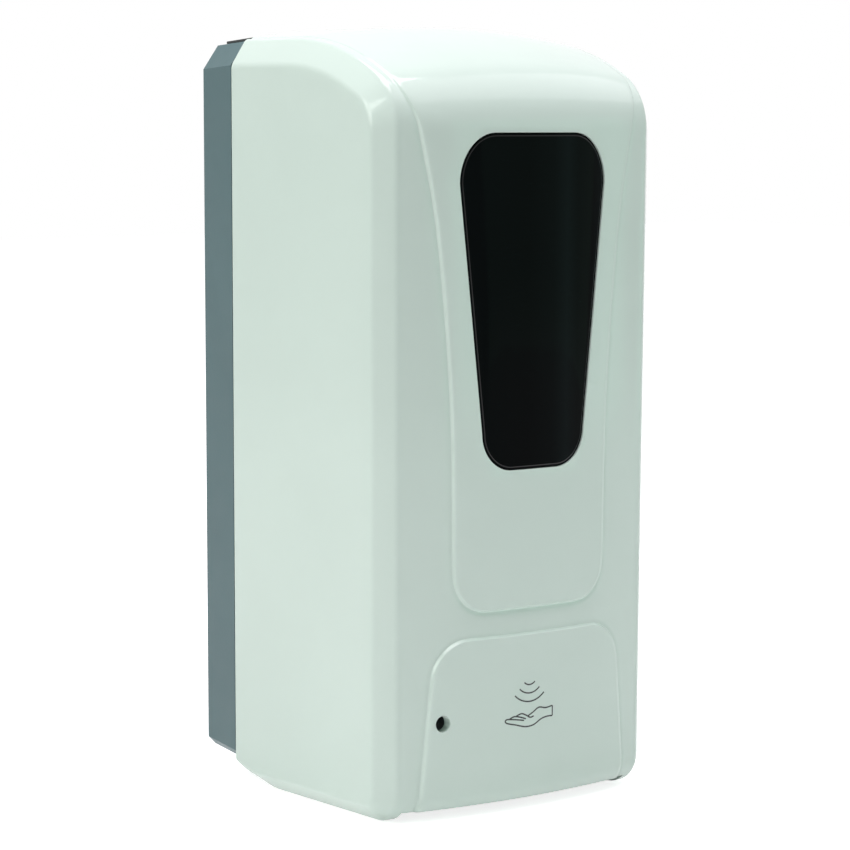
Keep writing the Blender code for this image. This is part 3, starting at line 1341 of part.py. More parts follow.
def make_bottle():
    """Hollow reservoir with a filler neck on top and a spout below, and its cap and seals."""
    bottle = add_piece("bottle", bottle_block(0.0), CLEAR)
    neck = rod(NECK_RADIUS, (0.0, NECK_Y, BOTTLE_TOP - BOTTLE_WALL), BOTTLE_WALL + NECK_HEIGHT, "Z")
    spout_start = (INLET_X, TUBE_Y, BOTTLE_BOTTOM - SPOUT_LENGTH)
    spout = rod(SPOUT_RADIUS, spout_start, SPOUT_LENGTH + BOTTLE_WALL, "Z", SMALL_SIDES)
    join(bottle, neck, spout)
    bore_radius = NECK_RADIUS - BOTTLE_WALL
    bore_length = BOTTLE_ROUND + NECK_HEIGHT + OVERRUN
    bore = rod(bore_radius, (0.0, NECK_Y, BOTTLE_TOP - BOTTLE_ROUND), bore_length, "Z")
    drain_start = (INLET_X, TUBE_Y, spout_start[2] - OVERRUN)
    drain = rod(SPOUT_BORE, drain_start, SPOUT_LENGTH + BOTTLE_ROUND, "Z", SMALL_SIDES)
    cut(bottle, bottle_block(BOTTLE_WALL), bore, drain)

    neck_top = BOTTLE_TOP + NECK_HEIGHT
    seal_low = neck_top + FIT_GAP
    seal = add_piece(
        "cap_seal",
        rod(NECK_RADIUS - FIT_GAP, (0.0, NECK_Y, seal_low), CAP_SEAL_THICKNESS, "Z"),
        SILICONE,
    )
    hole_start = (0.0, NECK_Y, seal_low - OVERRUN)
    cut(seal, rod(bore_radius, hole_start, CAP_SEAL_THICKNESS + 2 * OVERRUN, "Z"))

    cap_low = BOTTLE_TOP + FIT_GAP
    under = seal_low + CAP_SEAL_THICKNESS + FIT_GAP
    outline = []
    for index in range(2 * CAP_GRIP_COUNT):
        angle = math.pi * index / CAP_GRIP_COUNT
        reach = CAP_RADIUS - CAP_GRIP_DEPTH * (index % 2)
        outline.append((reach * math.cos(angle), NECK_Y + reach * math.sin(angle)))
    cap = add_piece("filler_cap", prism(outline, cap_low, under + CAP_WALL, "Z"), CHASSIS_GREY)
    room_start = (0.0, NECK_Y, cap_low - OVERRUN)
    cut(cap, rod(NECK_RADIUS + FIT_GAP, room_start, under - cap_low + OVERRUN, "Z"))

    ring = SPOUT_RADIUS + FIT_GAP + SEAL_WIRE
    middle = SHELF_TOP - SHELF_THICKNESS / 2
    turn = 360 * (SEAL_SIDES - 1) / SEAL_SIDES
    section = (SEAL_START_DEG, SEAL_START_DEG - turn, SEAL_SIDES - 1)
    wire = arc((ring, middle), (SEAL_WIRE, SEAL_WIRE), *section)
    add_piece("outlet_seal", turned(wire, (INLET_X, TUBE_Y, 0.0), sides=SEAL_TURNS), RUBBER)


# Mechanism case


def case_boss_places():
    """(x, z) of the four screw bosses in the case's corners."""
    x = CASE_HALF - CASE_BOSS_INSET
    heights = (CASE_TOP - CASE_BOSS_INSET, CASE_BOTTOM + CASE_BOSS_INSET)
    return [(side * x, z) for z in heights for side in (-1, 1)]


def make_case():
    """Open-fronted case for the motor, gears and board, its front plate and its screws."""
    inner_back = -CASE_BACK - CASE_WALL
    inner_floor = CASE_BOTTOM + CASE_WALL
    inner_top = CASE_TOP - CASE_WALL
    case = add_piece(
        "mechanism_case",
        box((-CASE_HALF, -CASE_FRONT, CASE_BOTTOM), (CASE_HALF, -CASE_BACK, CASE_TOP)),
        CASE_GREY,
    )
    inner_half = CASE_HALF - CASE_WALL
    cut(
        case,
        box((-inner_half, -CASE_FRONT - OVERRUN, inner_floor), (inner_half, inner_back, inner_top)),
    )
    parts, cuts = [], []
    outer_x, outer_z = CASE_HALF - SINK, CASE_BOSS_INSET - SINK
    for x, z in case_boss_places():
        inner_x = abs(x) - CASE_BOSS_RADIUS
        low_x, high_x = (inner_x, outer_x) if x > 0 else (-outer_x, -inner_x)
        low_z = z - (CASE_BOSS_RADIUS if z > PUMP_Z else outer_z)
        high_z = z + (outer_z if z > PUMP_Z else CASE_BOSS_RADIUS)
        boss_back = -CASE_FRONT + CASE_BOSS_LENGTH
        parts.append(box((low_x, -CASE_FRONT + SINK, low_z), (high_x, boss_back, high_z)))
        start = (x, -CASE_FRONT - OVERRUN, z)
        cuts.append(
            rod(CASE_SCREW_RADIUS + FIT_GAP, start, CASE_SCREW_LENGTH + OVERRUN, "Y", SMALL_SIDES)
        )
    bracket_back = MOTOR_FRONT - FIT_GAP
    bracket_front = bracket_back - BRACKET_THICKNESS
    parts.append(
        box(
            (MOTOR_X - BRACKET_HALF, bracket_front, inner_floor - SINK),
            (MOTOR_X + BRACKET_HALF, bracket_back, inner_top + SINK),
        )
    )
    nose_start = (MOTOR_X, bracket_front - OVERRUN, PUMP_Z)
    cuts.append(rod(MOTOR_NOSE_RADIUS + FIT_GAP, nose_start, BRACKET_THICKNESS + 2 * OVERRUN, "Y"))
    post = BOARD_POST_SIDE
    board_back = board_size()[1]
    back_post = (BOARD_POST_BACK_X, board_back - BOARD_POST_INSET)
    front_post = (BOARD_POST_FRONT_X, MOTOR_FRONT + BOARD_POST_INSET)
    for reach, y in (back_post, front_post):
        for x in (-reach, reach):
            low = (x - post / 2, y - post / 2, inner_floor - SINK)
            parts.append(box(low, (x + post / 2, y + post / 2, BOARD_Z - FIT_GAP)))
    join(case, *parts)
    for x in (-SENSOR_X, SENSOR_X):
        start = (x, SENSOR_Y, CASE_BOTTOM - OVERRUN)
        length = CASE_WALL + 2 * OVERRUN
        cuts.append(rod(SENSOR_RADIUS + SENSOR_HOLE_CLEARANCE, start, length, "Z", SMALL_SIDES))
    for x, y, half_x, half_y in (
        (SWITCH_X, SWITCH_Y, SWITCH_HALF_LENGTH, SWITCH_HALF_WIDTH),
        (JACK_X, JACK_Y, JACK_HALF_SIDE, JACK_HALF_SIDE),
    ):
        cuts.append(
            box(
                (x - half_x - FIT_GAP, y - half_y - FIT_GAP, CASE_BOTTOM - OVERRUN),
                (x + half_x + FIT_GAP, y + half_y + FIT_GAP, inner_floor + OVERRUN),
            )
        )
    for side in (-1, 1):
        middle = side * (EAR_INNER + EAR_THICKNESS / 2)
        reach = EAR_THICKNESS / 2 + EAR_CLEARANCE
        low = (middle - reach, HINGE_Y - EAR_RADIUS - EAR_CLEARANCE, CASE_BOTTOM - OVERRUN)
        high = (middle + reach, -CASE_BACK + OVERRUN, EAR_ARM_TOP + EAR_CLEARANCE)
        cuts.append(box(low, high))
        head_start = (side * CHASSIS_SCREW_X, -CASE_BACK - CASE_WALL - OVERRUN, CHASSIS_SCREW_LOW)
        head_room = CASE_WALL + 2 * OVERRUN
        cuts.append(rod(SCREW_HEAD_RADIUS + FIT_GAP, head_start, head_room, "Y", SMALL_SIDES))
    slot_top = inner_top - LEAD_SLOT_DROP
    slot_low = (inner_half - OVERRUN, -LEAD_SLOT_BACK - LEAD_SLOT_LENGTH, slot_top - LEAD_SLOT_HEIGHT)
    cuts.append(box(slot_low, (CASE_HALF + OVERRUN, -LEAD_SLOT_BACK, slot_top)))
    cut(case, *cuts)

    plate_back = -CASE_FRONT - FIT_GAP
    plate_front = plate_back - CASE_WALL
    front = add_piece(
        "case_front",
        box((-CASE_HALF, plate_front, CASE_BOTTOM), (CASE_HALF, plate_back, CASE_TOP)),
        CASE_GREY,
    )
    length = CASE_WALL + 2 * OVERRUN
    shaft_start = (PUMP_X, plate_front - OVERRUN, PUMP_Z)
    holes = [rod(SHAFT_RADIUS + SHAFT_HOLE_CLEARANCE, shaft_start, length, "Y", SMALL_SIDES)]
    for x, z in case_boss_places():
        start = (x, plate_front - OVERRUN, z)
        holes.append(rod(CASE_SCREW_RADIUS + FIT_GAP, start, length, "Y", SMALL_SIDES))
    cut(front, *holes)
    seat = plate_front - FIT_GAP
    sizes = (CASE_SCREW_RADIUS, CASE_SCREW_LENGTH - CASE_WALL, CASE_SCREW_HEAD_RADIUS, SCREW_HEAD_HEIGHT)
    for index, (x, z) in enumerate(case_boss_places(), 1):
        make_screw(f"case_screw_{index}", (x, seat, z), *sizes)


def board_size():
    """Half width of the circuit board and the depth of its back edge."""
    half = CASE_HALF - CASE_WALL - BOARD_MARGIN
    return half, -CASE_BACK - CASE_WALL - BOARD_MARGIN


# Hose pump


def tube_route():
    """Centre line of the hose: down from the bottle, once round the rotor and down to the nozzle."""
    top_z = PUMP_Z + LOOP_RADIUS
    bottom_z = PUMP_Z - LOOP_RADIUS
    bend = (TUBE_BEND, TUBE_BEND)
    inlet, outlet = inlet_bend(), outlet_bend()
    points = [(INLET_X, BOTTLE_BOTTOM - SPOUT_LENGTH - FIT_GAP)]
    points += arc(inlet, bend, 180, 270, BEND_STEPS)
    points += [((inlet[0] + PUMP_X) / 2, top_z)]
    points += arc((PUMP_X, PUMP_Z), (LOOP_RADIUS, LOOP_RADIUS), 90, -90, LOOP_STEPS)
    points += arc(outlet, bend, 90, 180, BEND_STEPS)
    points += [(NOZZLE_X, bottom_z - TUBE_BEND - OUTLET_LENGTH)]
    return [(x, TUBE_Y, z) for x, z in points]


def inlet_bend():
    """Centre of the hose's bend below the bottle, in x and z."""
    return (INLET_X + TUBE_BEND, PUMP_Z + LOOP_RADIUS + TUBE_BEND)


def outlet_bend():
    """Centre of the hose's bend above the nozzle, in x and z."""
    return (NOZZLE_X + TUBE_BEND, PUMP_Z - LOOP_RADIUS - TUBE_BEND)


def circle_crossing(center, radius, other, other_radius):
    """Left one of the two points where two circles cross."""
    apart = Vector(other) - Vector(center)
    distance = apart.length
    along = (radius**2 - other_radius**2 + distance**2) / (2 * distance)
    across = math.sqrt(radius**2 - along**2)
    unit = apart / distance
    middle = Vector(center) + unit * along
    points = [middle + Vector((-unit.y, unit.x)) * across * side for side in (-1, 1)]
    return min(points, key=lambda point: point.x)


def pump_room():
    """Outline of the room for hose and rotor, from the inlet round the track to the outlet."""
    lane = TUBE_RADIUS + FIT_GAP
    track = LOOP_RADIUS + lane
    pump = (PUMP_X, PUMP_Z)
    inlet, outlet = inlet_bend(), outlet_bend()
    tight = (TUBE_BEND - lane, TUBE_BEND - lane)
    wide = (TUBE_BEND + lane, TUBE_BEND + lane)
    above = BOTTLE_BOTTOM
    below = outlet[1] - OUTLET_LENGTH - 2 * OVERRUN
    crossing = circle_crossing(outlet, wide[0], pump, track)
    crossing_deg = math.degrees(math.atan2(crossing.y - outlet[1], crossing.x - outlet[0]))
    low_deg = math.degrees(math.atan2(crossing.y - PUMP_Z, crossing.x - PUMP_X)) % 360
    lane_low = inlet[1] - wide[1]
    high_deg = 180 - math.degrees(math.asin((lane_low - PUMP_Z) / track))
    points = [(INLET_X - lane, above), (INLET_X + lane, above)]
    points += arc(inlet, tight, 180, 270, BEND_STEPS)
    points += arc(pump, (track, track), 90, -90, LOOP_STEPS)
    points += arc(outlet, tight, 90, 180, BEND_STEPS)
    points += [(NOZZLE_X + lane, below), (NOZZLE_X - lane, below)]
    points += arc(outlet, wide, 180, crossing_deg, BEND_STEPS)
    points += arc(pump, (track, track), low_deg, high_deg, LOOP_STEPS)[1:]
    points += arc(inlet, wide, 270, 180, BEND_STEPS)
    return points


def pump_outline():
    """Outline of the pump body and its cover."""
    lane = TUBE_RADIUS + FIT_GAP
    outer = LOOP_RADIUS + lane + TRACK_WALL
    inlet, outlet = inlet_bend(), outlet_bend()
    left = INLET_X - lane - TRACK_WALL
    top = BOTTLE_BOTTOM - SPOUT_LENGTH - 2 * RUN_GAP
    end = outlet[1] - OUTLET_LENGTH
    collar = INLET_X + lane + TRACK_WALL
    points = [(left, top), (collar, top), (collar + TRACK_WALL, PUMP_Z + outer)]
    points += arc((PUMP_X, PUMP_Z), (outer, outer), 90, -90, LOOP_STEPS)
    points += [(NOZZLE_X + HOLDER_HALF + TRACK_WALL, PUMP_Z - outer)]
    points += [(NOZZLE_X + HOLDER_HALF, outlet[1]), (NOZZLE_X + HOLDER_HALF, end)]
    points += [(NOZZLE_X - HOLDER_HALF, end), (NOZZLE_X - HOLDER_HALF, PUMP_Z + ROTOR_HUB_RADIUS)]
    points += [(left, inlet[1] - TUBE_BEND - lane)]
    return points


def make_pump():
    """Pump body with its round track, clear cover, hose, rotor and rollers."""
    front = PUMP_PLANE_FRONT
    inside_back = PUMP_PLANE_BACK - PUMP_FLOOR
    body = add_piece("pump_body", prism(pump_outline(), front, PUMP_PLANE_BACK), CHASSIS_GREY)
    hole_start = (PUMP_X, inside_back - OVERRUN, PUMP_Z)
    hole_length = PUMP_FLOOR + 2 * OVERRUN
    cut(
        body,
        prism(pump_room(), front - OVERRUN, inside_back),
        rod(SHAFT_RADIUS + SHAFT_HOLE_CLEARANCE, hole_start, hole_length, "Y", SMALL_SIDES),
    )
    cover_back = front - FIT_GAP
    cover_mesh = prism(pump_outline(), cover_back - PUMP_COVER_THICKNESS, cover_back)
    add_piece("pump_cover", cover_mesh, CLEAR)
    hose = add_piece("pump_tube", tube(tube_route(), TUBE_RADIUS, HOSE_RESOLUTION, False), SILICONE)
    thicken(hose, TUBE_WALL)

    orbit_radius = LOOP_RADIUS - TUBE_RADIUS - FIT_GAP - ROLLER_RADIUS
    back = inside_back - FIT_GAP
    free_front = front + FIT_GAP
    length = back - free_front
    disc_start = (PUMP_X, back - ROTOR_DISC_THICKNESS, PUMP_Z)
    rotor = add_piece(
        "pump_rotor",
        rod(ROTOR_DISC_RADIUS, disc_start, ROTOR_DISC_THICKNESS, "Y"),
        CHASSIS_GREY,
    )
    extras = [rod(ROTOR_HUB_RADIUS, (PUMP_X, free_front, PUMP_Z), length - SINK, "Y", SMALL_SIDES)]
    orbit = []
    for index in range(ROLLER_COUNT):
        angle = 2 * math.pi * index / ROLLER_COUNT + math.pi / 2
        x, z = PUMP_X + orbit_radius * math.cos(angle), PUMP_Z + orbit_radius * math.sin(angle)
        orbit.append((x, z))
        start = (x, free_front + SINK, z)
        extras.append(rod(ROLLER_PIN_RADIUS, start, length - 2 * SINK, "Y", SMALL_SIDES))
    join(rotor, *extras)
    roller_length = length - ROTOR_DISC_THICKNESS - 2 * FIT_GAP
    for index, (x, z) in enumerate(orbit, 1):
        start = (x, free_front + FIT_GAP, z)
        mesh = rod(ROLLER_RADIUS, start, roller_length, "Y", ROLLER_SIDES)
        roller = add_piece(f"pump_roller_{index}", mesh, GEAR_WHITE)
        bore_start = (x, free_front - OVERRUN, z)
        bore_length = roller_length + 3 * OVERRUN
        cut(roller, rod(ROLLER_PIN_RADIUS + FIT_GAP, bore_start, bore_length, "Y", SMALL_SIDES))
        set_origin(roller, (x, TUBE_Y, z))
    return back


def make_nozzle():
    """Nozzle below the hose's end."""
    top = tube_route()[-1][2] - FIT_GAP
    profile = [
        (NOZZLE_BORE, top),
        (NOZZLE_RADIUS, top),
        (NOZZLE_RADIUS, top - NOZZLE_FLANGE),
        (NOZZLE_TIP_RADIUS + NOZZLE_BORE / 2, top - NOZZLE_FLANGE),
        (NOZZLE_TIP_RADIUS, top - NOZZLE_LENGTH),
        (NOZZLE_BORE, top - NOZZLE_LENGTH),
    ]
    add_piece("nozzle", turned(profile, (NOZZLE_X, TUBE_Y, 0.0)), BLACK_SATIN)


# Gear train and motor


def gear_outline(teeth, center, phase):
    """Outline of a spur gear with straight-flanked teeth, thinned for backlash."""
    pitch_radius = MODULE * teeth / 2
    outer = pitch_radius + MODULE * ADDENDUM_SHARE
    root = pitch_radius - MODULE * DEDENDUM_SHARE
    pitch = 2 * math.pi / teeth
    points = []
    for tooth in range(teeth):
        middle = phase + tooth * pitch
        for radius, share in (
            (root, -TOOTH_ROOT_SHARE),
            (outer, -TOOTH_TIP_SHARE),
            (outer, TOOTH_TIP_SHARE),
            (root, TOOTH_ROOT_SHARE),
        ):
            angle = middle + pitch * share / 2
            points.append((center[0] + radius * math.cos(angle), center[1] + radius * math.sin(angle)))
    return points


def make_gears(rotor_back):
    """Pump gear on the rotor's shaft, the double idler on its axle, and the motor's pinion."""
    gear_front = PUMP_GEAR_BACK - GEAR_WIDTH
    gear = add_piece(
        "pump_gear",
        prism(gear_outline(PUMP_TEETH, (PUMP_X, PUMP_Z), math.pi), gear_front, PUMP_GEAR_BACK),
        GEAR_WHITE,
    )
    shaft_end = rotor_back + FIT_GAP
    shaft_length = PUMP_GEAR_BACK - shaft_end - SINK
    join(gear, rod(SHAFT_RADIUS, (PUMP_X, shaft_end, PUMP_Z), shaft_length, "Y", SMALL_SIDES))

    small_phase = math.pi / IDLER_SMALL_TEETH
    large_front = LARGE_GEAR_BACK - GEAR_WIDTH
    idler = add_piece(
        "idler_gear",
        prism(gear_outline(IDLER_LARGE_TEETH, (IDLER_X, PUMP_Z), math.pi), large_front, LARGE_GEAR_BACK),
        GEAR_WHITE,
    )
    small = gear_outline(IDLER_SMALL_TEETH, (IDLER_X, PUMP_Z), small_phase)
    join(idler, prism(small, gear_front, large_front + SINK))
    bore_start = (IDLER_X, gear_front - OVERRUN, PUMP_Z)
    bore_length = LARGE_GEAR_BACK - gear_front + 2 * OVERRUN
    cut(idler, rod(AXLE_RADIUS + FIT_GAP, bore_start, bore_length, "Y", SMALL_SIDES))
    axle_front = -CASE_FRONT
    axle_back = -CASE_BACK - CASE_WALL - FIT_GAP
    add_piece(
        "idler_axle",
        rod(AXLE_RADIUS, (IDLER_X, axle_front, PUMP_Z), axle_back - axle_front, "Y", SMALL_SIDES),
        STEEL,
    )

    pinion_phase = math.pi / PINION_TEETH
    pinion = add_piece(
        "motor_pinion",
        prism(gear_outline(PINION_TEETH, (MOTOR_X, PUMP_Z), pinion_phase), large_front, LARGE_GEAR_BACK),
        BRASS,
    )
    shaft_start = (MOTOR_X, LARGE_GEAR_BACK - SINK, PUMP_Z)
    pinion_shaft = MOTOR_FRONT - MOTOR_NOSE_LENGTH / 2 + SINK - LARGE_GEAR_BACK
    join(pinion, rod(MOTOR_SHAFT_RADIUS, shaft_start, pinion_shaft, "Y", SMALL_SIDES))


def make_motor():
    """Motor can with its nose, and the two leads down to the board."""
    motor = add_piece(
        "motor",
        rod(MOTOR_RADIUS, (MOTOR_X, MOTOR_FRONT, PUMP_Z), MOTOR_LENGTH, "Y"),
        STEEL,
    )
    nose_start = (MOTOR_X, MOTOR_FRONT - MOTOR_NOSE_LENGTH, PUMP_Z)
    join(motor, rod(MOTOR_NOSE_RADIUS, nose_start, MOTOR_NOSE_LENGTH + SINK, "Y", SMALL_SIDES))
    bore_start = (MOTOR_X, MOTOR_FRONT - MOTOR_NOSE_LENGTH - OVERRUN, PUMP_Z)
    cut(
        motor,
        rod(MOTOR_SHAFT_RADIUS + FIT_GAP, bore_start, MOTOR_NOSE_LENGTH + 2 * OVERRUN, "Y", SMALL_SIDES),
    )
    tail = MOTOR_FRONT + MOTOR_LENGTH
    board_top = BOARD_Z + BOARD_THICKNESS
    for name, look, side in (("motor_lead_red", LEAD_RED, -1), ("motor_lead_black", LEAD_BLACK, 1)):
        x = MOTOR_X + side * LEAD_SPREAD
        drop = PUMP_Z - board_top - MOTOR_RADIUS
        points = [
            (x, tail + FIT_GAP, PUMP_Z - LEAD_SPREAD),
            (x, tail + 2 * LEAD_RADIUS, PUMP_Z - LEAD_SPREAD - LEAD_RADIUS),
            (x, tail + 3 * LEAD_RADIUS, PUMP_Z - LEAD_SPREAD - 3 * LEAD_RADIUS),
            (x, tail + 3 * LEAD_RADIUS, PUMP_Z - MOTOR_RADIUS - drop / 3),
            (x, tail + 2 * LEAD_RADIUS, PUMP_Z - MOTOR_RADIUS - 2 * drop / 3),
            (x, tail + LEAD_RADIUS, board_top + 2 * LEAD_RADIUS),
            (x, tail, board_top + FIT_GAP),
        ]
        add_piece(name, tube(points, LEAD_RADIUS), look)


# Board and electric parts


def make_board():
    """Circuit board with the sensors, switch and power jack hanging below it."""
    half, back = board_size()
    board = box((-half, MOTOR_FRONT, BOARD_Z), (half, back, BOARD_Z + BOARD_THICKNESS))
    add_piece("main_board", board, BOARD_GREEN)
    hang = BOARD_Z - FIT_GAP
    for name, x in (("infrared_emitter", -SENSOR_X), ("infrared_receiver", SENSOR_X)):
        dome = SENSOR_RADIUS / 2
        profile = [
            (0.0, hang),
            (SENSOR_RADIUS, hang),
            (SENSOR_RADIUS, hang - SENSOR_LENGTH + dome),
            (SENSOR_RADIUS * DOME_SHARE, hang - SENSOR_LENGTH + dome / 4),
            (0.0, hang - SENSOR_LENGTH),
        ]
        add_piece(name, turned(profile, (x, SENSOR_Y, 0.0), sides=SMALL_SIDES), BLACK_GLOSS)
    top = CASE_BOTTOM - FIT_GAP
    low = (-SENSOR_WINDOW_HALF, SENSOR_Y - SENSOR_WINDOW_HALF_DEPTH, top - SENSOR_WINDOW_THICKNESS)
    high = (SENSOR_WINDOW_HALF, SENSOR_Y + SENSOR_WINDOW_HALF_DEPTH, top)
    add_piece("sensor_window", box(low, high), BLACK_GLOSS)


def make_switch():
    """Power switch below the board, with its slider at the off end."""
    hang = BOARD_Z - FIT_GAP
    low = hang - SWITCH_HEIGHT
    switch = add_piece(
        "power_switch",
        box(
            (SWITCH_X - SWITCH_HALF_LENGTH, SWITCH_Y - SWITCH_HALF_WIDTH, low),
            (SWITCH_X + SWITCH_HALF_LENGTH, SWITCH_Y + SWITCH_HALF_WIDTH, hang),
        ),
        BLACK_SATIN,
    )
    slot_x = SLIDER_HALF_LENGTH + SWITCH_TRAVEL / 2 + FIT_GAP
    slot_y = SLIDER_HALF_WIDTH + FIT_GAP
    slot_low = (SWITCH_X - slot_x, SWITCH_Y - slot_y, low - OVERRUN)
    cut(switch, box(slot_low, (SWITCH_X + slot_x, SWITCH_Y + slot_y, low + SLIDER_SINK + FIT_GAP)))
    x = SWITCH_X - SWITCH_TRAVEL / 2
    top = low + SLIDER_SINK
    slider_low = (x - SLIDER_HALF_LENGTH, SWITCH_Y - SLIDER_HALF_WIDTH, top - SLIDER_HEIGHT)
    slider_high = (x + SLIDER_HALF_LENGTH, SWITCH_Y + SLIDER_HALF_WIDTH, top)
    add_piece("switch_slider", box(slider_low, slider_high), CHASSIS_GREY)


def make_jack():
    """Power inlet below the board, with a round socket and its pin."""
    hang = BOARD_Z - FIT_GAP
    low = hang - JACK_HEIGHT
    side = JACK_HALF_SIDE
    jack = add_piece(
        "power_jack",
        box((JACK_X - side, JACK_Y - side, low), (JACK_X + side, JACK_Y + side, hang)),
        BLACK_SATIN,
    )
    place = (JACK_X, JACK_Y, low - OVERRUN)
    cut(jack, rod(JACK_BORE, place, JACK_BORE_DEPTH + OVERRUN, "Z"))
    pin_place = (JACK_X, JACK_Y, low + OVERRUN)
    join(jack, rod(JACK_PIN, pin_place, JACK_BORE_DEPTH, "Z", SMALL_SIDES))


def make_indicator():
    """Indicator light on a post behind the small hole of the cover."""
    z = COVER_BOTTOM + INDICATOR_HEIGHT
    band_x = HALF_WIDTH - EDGE_WIDTH - EDGE_ROUND
    skin_y = FRONT_Y + FRONT_CROWN * (INDICATOR_X / band_x) ** 2 + SHELL_WALL
    tip = skin_y + INDICATOR_SETBACK
    seat = tip + INDICATOR_LENGTH + FIT_GAP
    half = INDICATOR_HOLDER_SIDE / 2
    low, high = (INDICATOR_X - half, seat, z - half), (INDICATOR_X + half, PUMP_PLANE_BACK, z + half)
    add_piece("indicator_holder", box(low, high), BLACK_SATIN)
    profile = [(0.0, INDICATOR_LENGTH)]
    profile += arc((0.0, INDICATOR_RADIUS), (INDICATOR_RADIUS, INDICATOR_RADIUS), 0, -90, INDICATOR_STEPS)
    profile.insert(1, (INDICATOR_RADIUS, INDICATOR_LENGTH))
    profile[-1] = (0.0, 0.0)
    mesh = turned(profile, (0.0, 0.0, 0.0), "Y", SMALL_SIDES)
    mesh.transform(Matrix.Translation((INDICATOR_X, tip, z)))
    add_piece("indicator_light", mesh, CLEAR)


def put_origins():
    """Origins of the moving pieces on their joints' axes."""
    axes = {
        "front_cover": (0.0, HINGE_Y, HINGE_Z),
        "window_lens": (0.0, HINGE_Y, HINGE_Z),
        "window_frame": (0.0, HINGE_Y, HINGE_Z),
        "lock_cylinder": (0.0, -LOCK_SETBACK, cam_top()),
        "lock_cam": (0.0, -LOCK_SETBACK, cam_top()),
        "cam_screw": (0.0, -LOCK_SETBACK, cam_top()),
        "pump_rotor": (PUMP_X, TUBE_Y, PUMP_Z),
        "pump_gear": (PUMP_X, TUBE_Y, PUMP_Z),
        "idler_gear": (IDLER_X, TUBE_Y, PUMP_Z),
        "motor_pinion": (MOTOR_X, TUBE_Y, PUMP_Z),
        "filler_cap": (0.0, NECK_Y, BOTTLE_TOP),
        "cap_seal": (0.0, NECK_Y, BOTTLE_TOP),
    }
    for name, place in axes.items():
        set_origin(bpy.data.objects[name], place)


def main():
    make_cover()
    make_window()
    make_base()
    make_lock_plate()
    make_lock()
    make_hinge_pins()
    make_chassis()
    make_chassis_screws()
    make_battery_box()
    make_cells()
    make_bottle()
    make_case()
    rotor_back = make_pump()
    make_nozzle()
    make_gears(rotor_back)
    make_motor()
    make_board()
    make_switch()
    make_jack()
    make_indicator()
    put_origins()


main()
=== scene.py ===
"""Looks of the wall-mounted automatic gel dispenser.

Metres, +Z up. The wall is the plane Y = 0 and the front faces -Y.
"""

import json
import math

import bpy
from mathutils import Matrix, Quaternion, Vector

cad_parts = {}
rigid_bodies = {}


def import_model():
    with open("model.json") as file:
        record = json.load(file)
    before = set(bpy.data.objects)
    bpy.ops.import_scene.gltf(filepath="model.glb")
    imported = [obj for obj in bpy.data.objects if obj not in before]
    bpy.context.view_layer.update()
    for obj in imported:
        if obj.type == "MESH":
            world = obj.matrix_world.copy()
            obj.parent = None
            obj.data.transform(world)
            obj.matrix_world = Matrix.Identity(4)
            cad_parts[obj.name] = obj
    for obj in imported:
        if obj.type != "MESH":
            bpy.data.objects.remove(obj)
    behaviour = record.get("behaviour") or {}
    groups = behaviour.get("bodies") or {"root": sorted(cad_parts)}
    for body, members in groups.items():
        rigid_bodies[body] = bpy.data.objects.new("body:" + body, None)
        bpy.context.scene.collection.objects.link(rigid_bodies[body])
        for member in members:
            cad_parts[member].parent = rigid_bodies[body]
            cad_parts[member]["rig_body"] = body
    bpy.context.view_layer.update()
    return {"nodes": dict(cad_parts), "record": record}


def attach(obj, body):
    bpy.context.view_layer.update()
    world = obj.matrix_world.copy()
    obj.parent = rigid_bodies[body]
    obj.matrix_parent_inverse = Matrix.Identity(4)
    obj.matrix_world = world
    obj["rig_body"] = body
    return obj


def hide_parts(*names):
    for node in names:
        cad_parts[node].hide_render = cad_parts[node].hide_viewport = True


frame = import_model()

# Housing sizes
HALF_WIDTH = 0.0625
SIDE_DRAFT = 0.0014
COVER_BOTTOM = -0.1395
COVER_REAR = -0.0179
SHELL_WALL = 0.0025
SHOULDER_Z = 0.1207
SHOULDER_FLAT = 0.0325
SHOULDER_RADIUS = 0.088
SHOULDER_SLOPE_DEG = 29.0
SIDE_DEPTH = 0.1003
CHIN_RADIUS = 0.0050
EDGE_WIDTH = 0.0063
EDGE_ROUND = 0.0015
TOP_EDGE_RISE = 0.0094
FRONT_EDGE_RISE = 0.0063
TOP_CROWN = 0.0041
FRONT_CROWN = 0.0058
HEEL_LENGTH = 0.0180
HEEL_RISE = 0.0067
HEEL_POWER = 1.8
HEEL_EDGE_SHARE = 0.75
SIDE_BOTTOM_Z = COVER_BOTTOM + FRONT_EDGE_RISE
FRONT_Y = -0.1134

# Raised panels on the front, with heights counted from the cover's bottom
PANEL_RISE = 0.0010
PANEL_EDGE = 0.0023
STEP_SHARE = 0.40
GROOVE_DEPTH = 0.00022
CENTRE_PANEL_BOTTOM = 0.0725
CENTRE_PANEL_HALF = 0.0332
CENTRE_PANEL_CORNER = 0.0132
CENTRE_PANEL_KNOTS = (
    (0.0857, 0.0332),
    (0.1463, 0.0346),
    (0.2042, 0.0402),
    (0.2369, 0.0467),
    (0.2520, 0.0508),
    (0.2640, 0.0525),
    (0.2900, 0.0529),
    (0.3100, 0.0530),
)
CENTRE_PANEL_NECK = 0.2369
CENTRE_PANEL_BROW = 0.2640
TOP_RISE_SHARE = 0.35
LOWER_PANEL_TOP = 0.0622
LOWER_PANEL_HALF = 0.0405
LOWER_PANEL_CORNER = 0.0126
LOWER_PANEL_FLARE = 0.0060
BETWEEN_PANELS = (CENTRE_PANEL_BOTTOM + LOWER_PANEL_TOP) / 2

